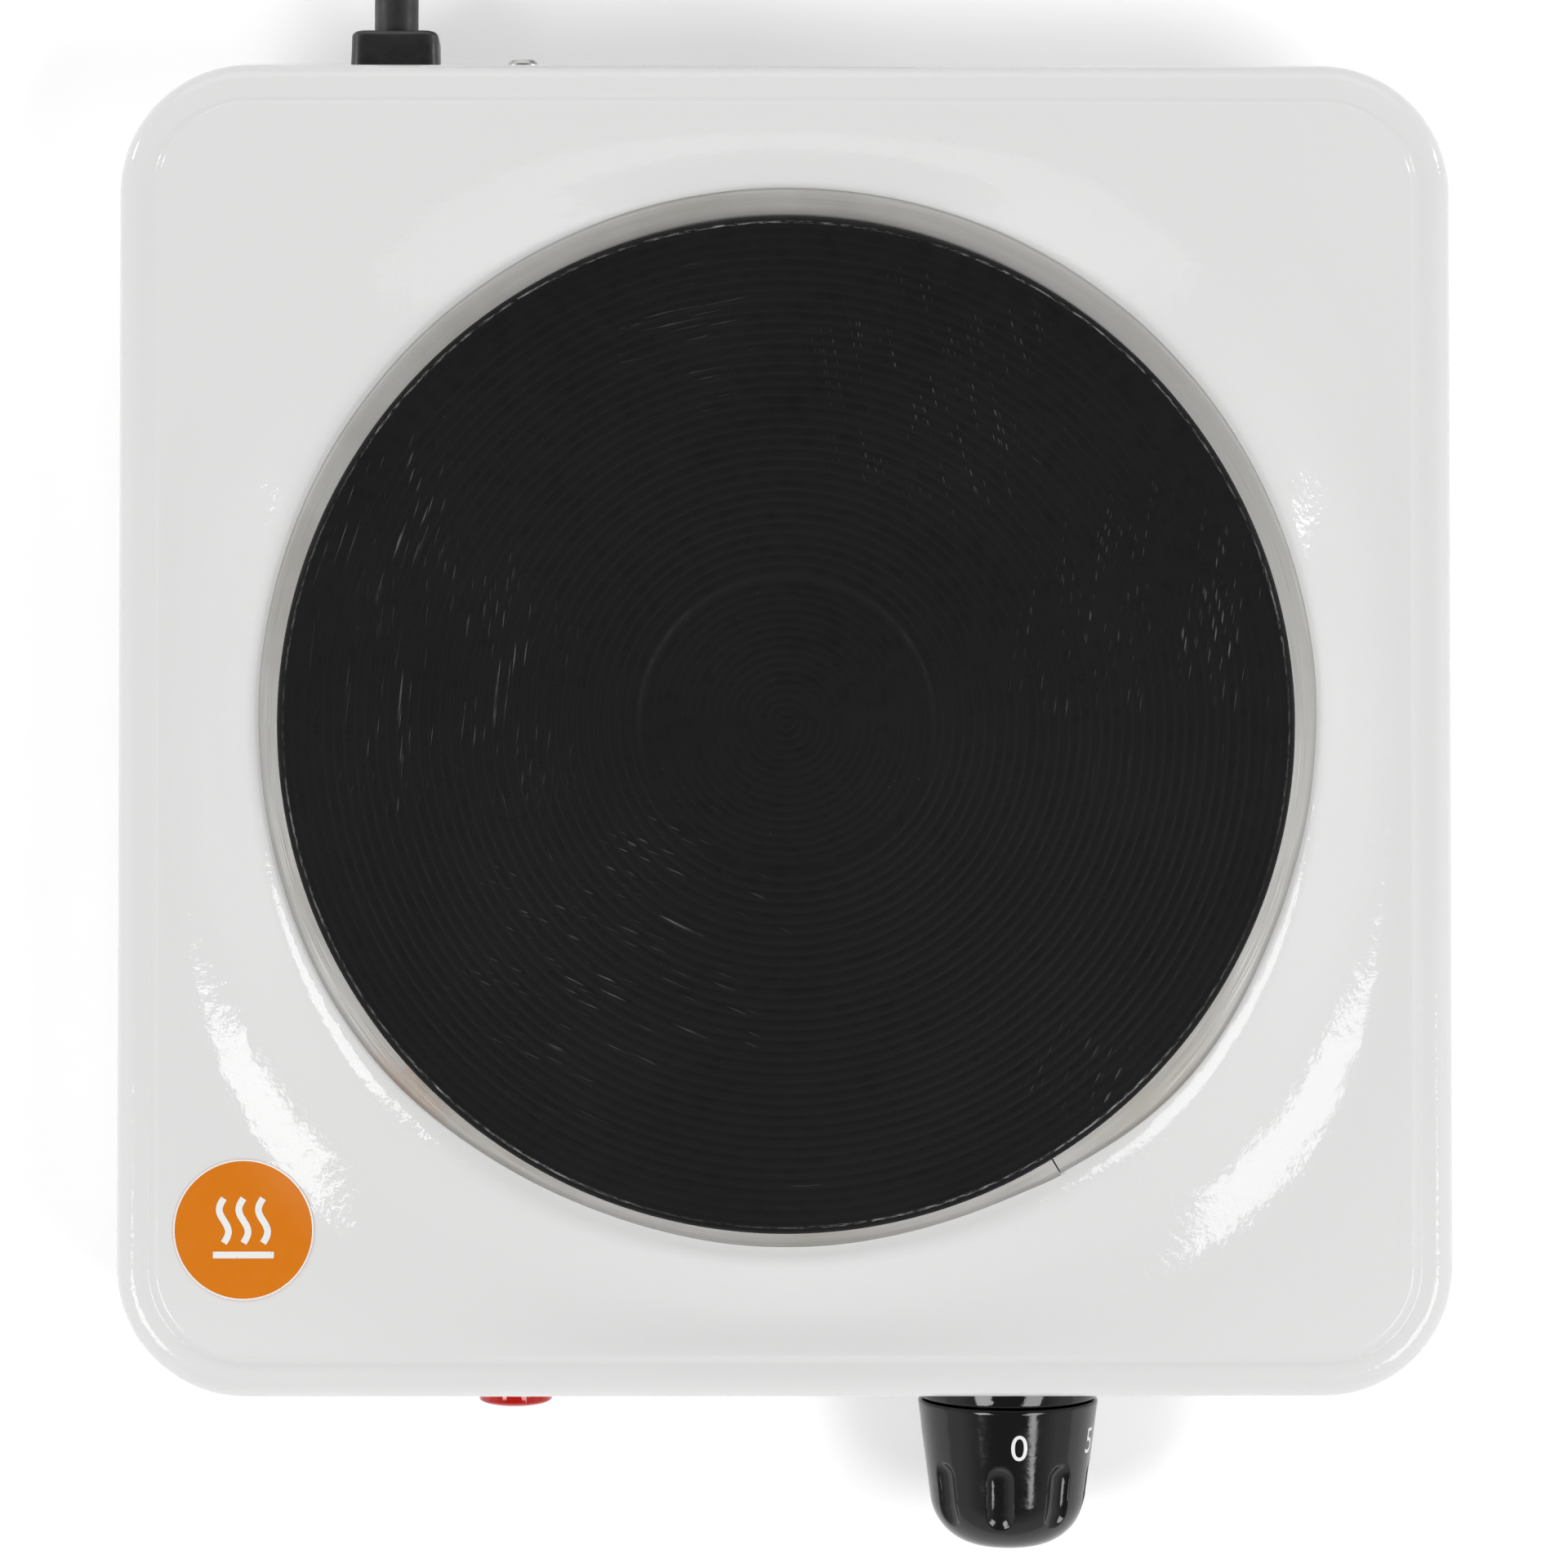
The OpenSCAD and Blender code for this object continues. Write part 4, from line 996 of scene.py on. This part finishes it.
def heat_sign():
    """Three wavy lines that rise from a bar."""
    half_stroke, lift = 0.62 * MM, 0.17 * MM
    bar_half, bar_y = 5.6 * MM, -4.6 * MM
    wave_gap, wave_side, wave_low, wave_tall = 3.6 * MM, 0.85 * MM, -2.4 * MM, 8.2 * MM
    lines = [[(bar_half * (i / 10 - 1), bar_y) for i in range(21)]]
    for x in (-wave_gap, 0, wave_gap):
        lines.append([
            (x + wave_side * math.sin(TURN * i / 28), wave_low + wave_tall * i / 28) for i in range(29)
        ])
    points, faces = [], []
    for middle in lines:
        left, right = ribbon(middle, half_stroke)
        start = len(points)
        points += [on_cover(x, y, lift) for pair in zip(left, right) for x, y in pair]
        faces += [
            (start + 2 * i, start + 2 * i + 1, start + 2 * i + 3, start + 2 * i + 2)
            for i in range(len(middle) - 1)
        ]
    return mesh_piece("sticker_sign", points, faces)


finished(
    sticker("heat_sticker", label_r, 0.05 * MM, 0.0, 0.14 * MM),
    "caution_disc", slot="orange_label", material=label_film(),
)
finished(
    sticker("sticker_border", label_r - 0.02 * MM, label_r - 0.35 * MM, 0.1 * MM, 0.16 * MM),
    slot="orange_label", material=ink,
)
sign = heat_sign()
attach(sign, "base")
sign.data.materials.append(ink)


# ---------------------------------------------------------------- tie round the coil
def coil_tie():
    """A strap loop round the coil's bundle."""
    low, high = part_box("cord_tie")
    tie_h = high.z - low.z
    mid_r, band, width, thick = 43 * MM, 23.4 * MM, 10.6 * MM, 0.9 * MM
    a = math.radians(-38)
    place = Matrix.Translation(COIL_CENTRE) @ Matrix.Rotation(a, 4, "Z")
    place = place @ Matrix.Translation((mid_r, 0, tie_h / 2))
    count = 96
    outer = round_rectangle(band, tie_h, 4.6 * MM, count)
    rings = []
    edge = 0.25 * MM
    end, shoulder = width / 2, width / 2 - edge
    for y, inset in ((-end, edge), (-shoulder, 0), (shoulder, 0), (end, edge)):
        rings.append([(x * (1 - inset / (11 * MM)), y, z * (1 - inset / (9 * MM))) for x, z in outer])
    for y in (width / 2, -width / 2):
        inner = round_rectangle(band - 2 * thick, tie_h - 2 * thick, 3.8 * MM, count)
        rings.append([(x, y, z) for x, z in inner])
    points, faces = bands(rings, closed=True)
    return mesh_piece("coil_strap", points, faces, place, crease=50)


strap = woven("tie_strap", (0.05, 0.05, 0.055), 0.9 * MM)
tie = finished(coil_tie(), "cord_tie", slot="tie_strap", material=strap)


# ---------------------------------------------------------------- plug
plug_low, plug_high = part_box("plug_body")
plug_axis = (plug_low + plug_high) / 2


def plug_outline():
    """Half section from the boot's small end, over its ribs and the grip, to the face with the pins."""
    start, rib_pitch, rib_out = 0.2 * MM, 1.1 * MM, 0.45 * MM
    face = 60.0 * MM
    boot = [
        (4.55 * MM + 0.035 * i * MM + rib_out * (i % 2), i * rib_pitch + start) for i in range(1, 24)
    ]
    grip_part = [(7.5, 27), (10.6, 29), (12.0, 31), (12.7, 35), (13.0, 40), (14.4, 43.2), (17.3, 45.2)]
    front = [(18.1, 45.6), (18.45, 46.4), (18.45, 58.9), (18.2, 59.6), (17.5, 60.0), (12, 60.0)]
    shape = [(r * MM, x * MM) for r, x in grip_part + front]
    return [(0, start), (4.4 * MM, start)] + boot + shape + [(0, face)]


def plug_bend(r, x, a):
    """Ridges for the fingers, and a flat seat on each side for the earth contacts."""
    seat, seat_half = 17.4 * MM, 3.4 * MM
    if 29 * MM < x < 42 * MM:
        r += 0.35 * MM * math.cos(TURN * x / (2.6 * MM)) * abs(math.sin(a)) ** 2
    if x > 46 * MM and abs(r * math.cos(a)) < seat_half and abs(r * math.sin(a)) > seat:
        r = seat / max(abs(math.sin(a)), 0.5)
    return r, x


def mains_plug():
    along_x = Matrix.Rotation(math.pi / 2, 4, "Y")
    place = Matrix.Translation((plug_low.x, plug_axis.y, plug_axis.z)) @ along_x
    return lathe("mains_plug", plug_outline(), 144, place, plug_bend, crease=40)


plug = finished(mains_plug(), "plug_body", slot="black_pvc", material=pvc)


# ---------------------------------------------------------------- materials of the CAD nodes that show
SLOT_MATERIALS = {
    "zinc_steel": zinc_plate(),
    "black_rubber": plain("black_rubber", (0.03, 0.03, 0.03), 0.75, grain=1800, depth=0.00008),
    "coil_alloy": plain("coil_alloy", (0.30, 0.26, 0.22), 0.5, 0.8, spread=0.25),
    "magnesia": plain("magnesia", (0.68, 0.66, 0.60), 0.9, grain=1400, depth=0.0002),
    "porcelain": plain("porcelain", (0.80, 0.77, 0.69), 0.5, grain=700, depth=0.00006, spread=0.05),
    "brass_metal": plain("brass_metal", (0.72, 0.54, 0.25), 0.28, 1.0, spread=0.1),
    "bulb_glass": plain("bulb_glass", (0.9, 0.86, 0.8), 0.08, Transmission_Weight=0.8, spread=0.03),
    "wire_brown": plain("wire_brown", (0.20, 0.08, 0.035), 0.45, spread=0.1),
    "wire_blue": plain("wire_blue", (0.045, 0.16, 0.50), 0.45, spread=0.1),
    "wire_green": plain("wire_green", (0.33, 0.52, 0.07), 0.45, spread=0.1),
    "wire_sleeve": woven("wire_sleeve", (0.78, 0.75, 0.68), 0.6 * MM),
    "nickel_pin": plain("nickel_pin", (0.66, 0.64, 0.60), 0.2, 1.0, spread=0.06),
    "black_plastic": satin,
    "black_pvc": pvc,
    "black_gloss_plastic": black,
}
for row in frame["record"]["subparts"]:
    node = nodes[row["node"]]
    if not node.hide_render:
        for holder in node.material_slots:
            holder.material = SLOT_MATERIALS[row["material_slot"]]


# ---------------------------------------------------------------- floor and light
def pale_floor():
    """Matt and near white, with a faint glow of its own that keeps it pale in every view."""
    p = Paint("pale_floor", (0.9, 0.9, 0.9), 0.9, Specular_IOR_Level=0.1)
    p.tint(p.mix(p.noise(6, 2), (0.895, 0.895, 0.895), (0.905, 0.905, 0.905)))
    p.shader.inputs["Emission Color"].default_value = (1, 1, 1, 1)
    p.shader.inputs["Emission Strength"].default_value = 0.2
    return p.material


def studio_floor():
    mesh = bpy.data.meshes.new("floor")
    work = bmesh.new()
    bmesh.ops.create_grid(work, x_segments=8, y_segments=8, size=6)
    work.to_mesh(mesh)
    work.free()
    floor = bpy.data.objects.new("floor", mesh)
    bpy.context.scene.collection.objects.link(floor)
    floor.data.materials.append(pale_floor())


studio_floor()


def softbox(name, azimuth, polar, distance, width, height, watts):
    """A soft light seen from the object at an azimuth, and at a polar angle from straight up."""
    aim = Vector((0, 0, 0.06))
    light = bpy.data.lights.new(name, "AREA")
    light.shape = "RECTANGLE"
    light.size, light.size_y, light.energy = width, height, watts
    a, p = math.radians(azimuth), math.radians(polar)
    holder = bpy.data.objects.new(name, light)
    holder.location = aim + distance * Vector((
        math.cos(a) * math.sin(p), math.sin(a) * math.sin(p), math.cos(p)
    ))
    holder.rotation_euler = (aim - holder.location).to_track_quat("-Z", "Y").to_euler()
    bpy.context.scene.collection.objects.link(holder)


# Name, azimuth and polar angle in degrees, distance, width and height in metres, and watts
softbox("light_front_left", 208, 38, 1.7, 0.54, 0.6, 11)
softbox("light_front_right", 329, 37, 1.7, 0.74, 0.6, 13)
softbox("light_back_left", 153, 77, 1.9, 0.2, 0.3, 4)
softbox("light_back_right", 24, 77, 1.9, 0.2, 0.3, 4)
softbox("light_back", 90, 60, 2.4, 3.0, 1.2, 16)


def studio_world():
    """Soft light from all round, dimmer straight overhead where the camera hangs."""
    horizon, overhead = 0.85, 0.13
    even_to, dim_from = 0.35, 0.78
    world = bpy.data.worlds.new("studio")
    bpy.context.scene.world = world
    world.use_nodes = True
    tree = world.node_tree
    towards = tree.nodes.new("ShaderNodeTexCoord").outputs["Generated"]
    split = tree.nodes.new("ShaderNodeSeparateXYZ")
    tree.links.new(towards, split.inputs[0])
    shade = tree.nodes.new("ShaderNodeMapRange")
    for socket, value in enumerate((even_to, dim_from, horizon, overhead), start=1):
        shade.inputs[socket].default_value = value
    tree.links.new(split.outputs[2], shade.inputs[0])
    tree.nodes["Background"].inputs["Color"].default_value = (1, 1, 1, 1)
    tree.links.new(shade.outputs[0], tree.nodes["Background"].inputs["Strength"])


studio_world()
bpy.context.scene.view_settings.view_transform = "Standard"
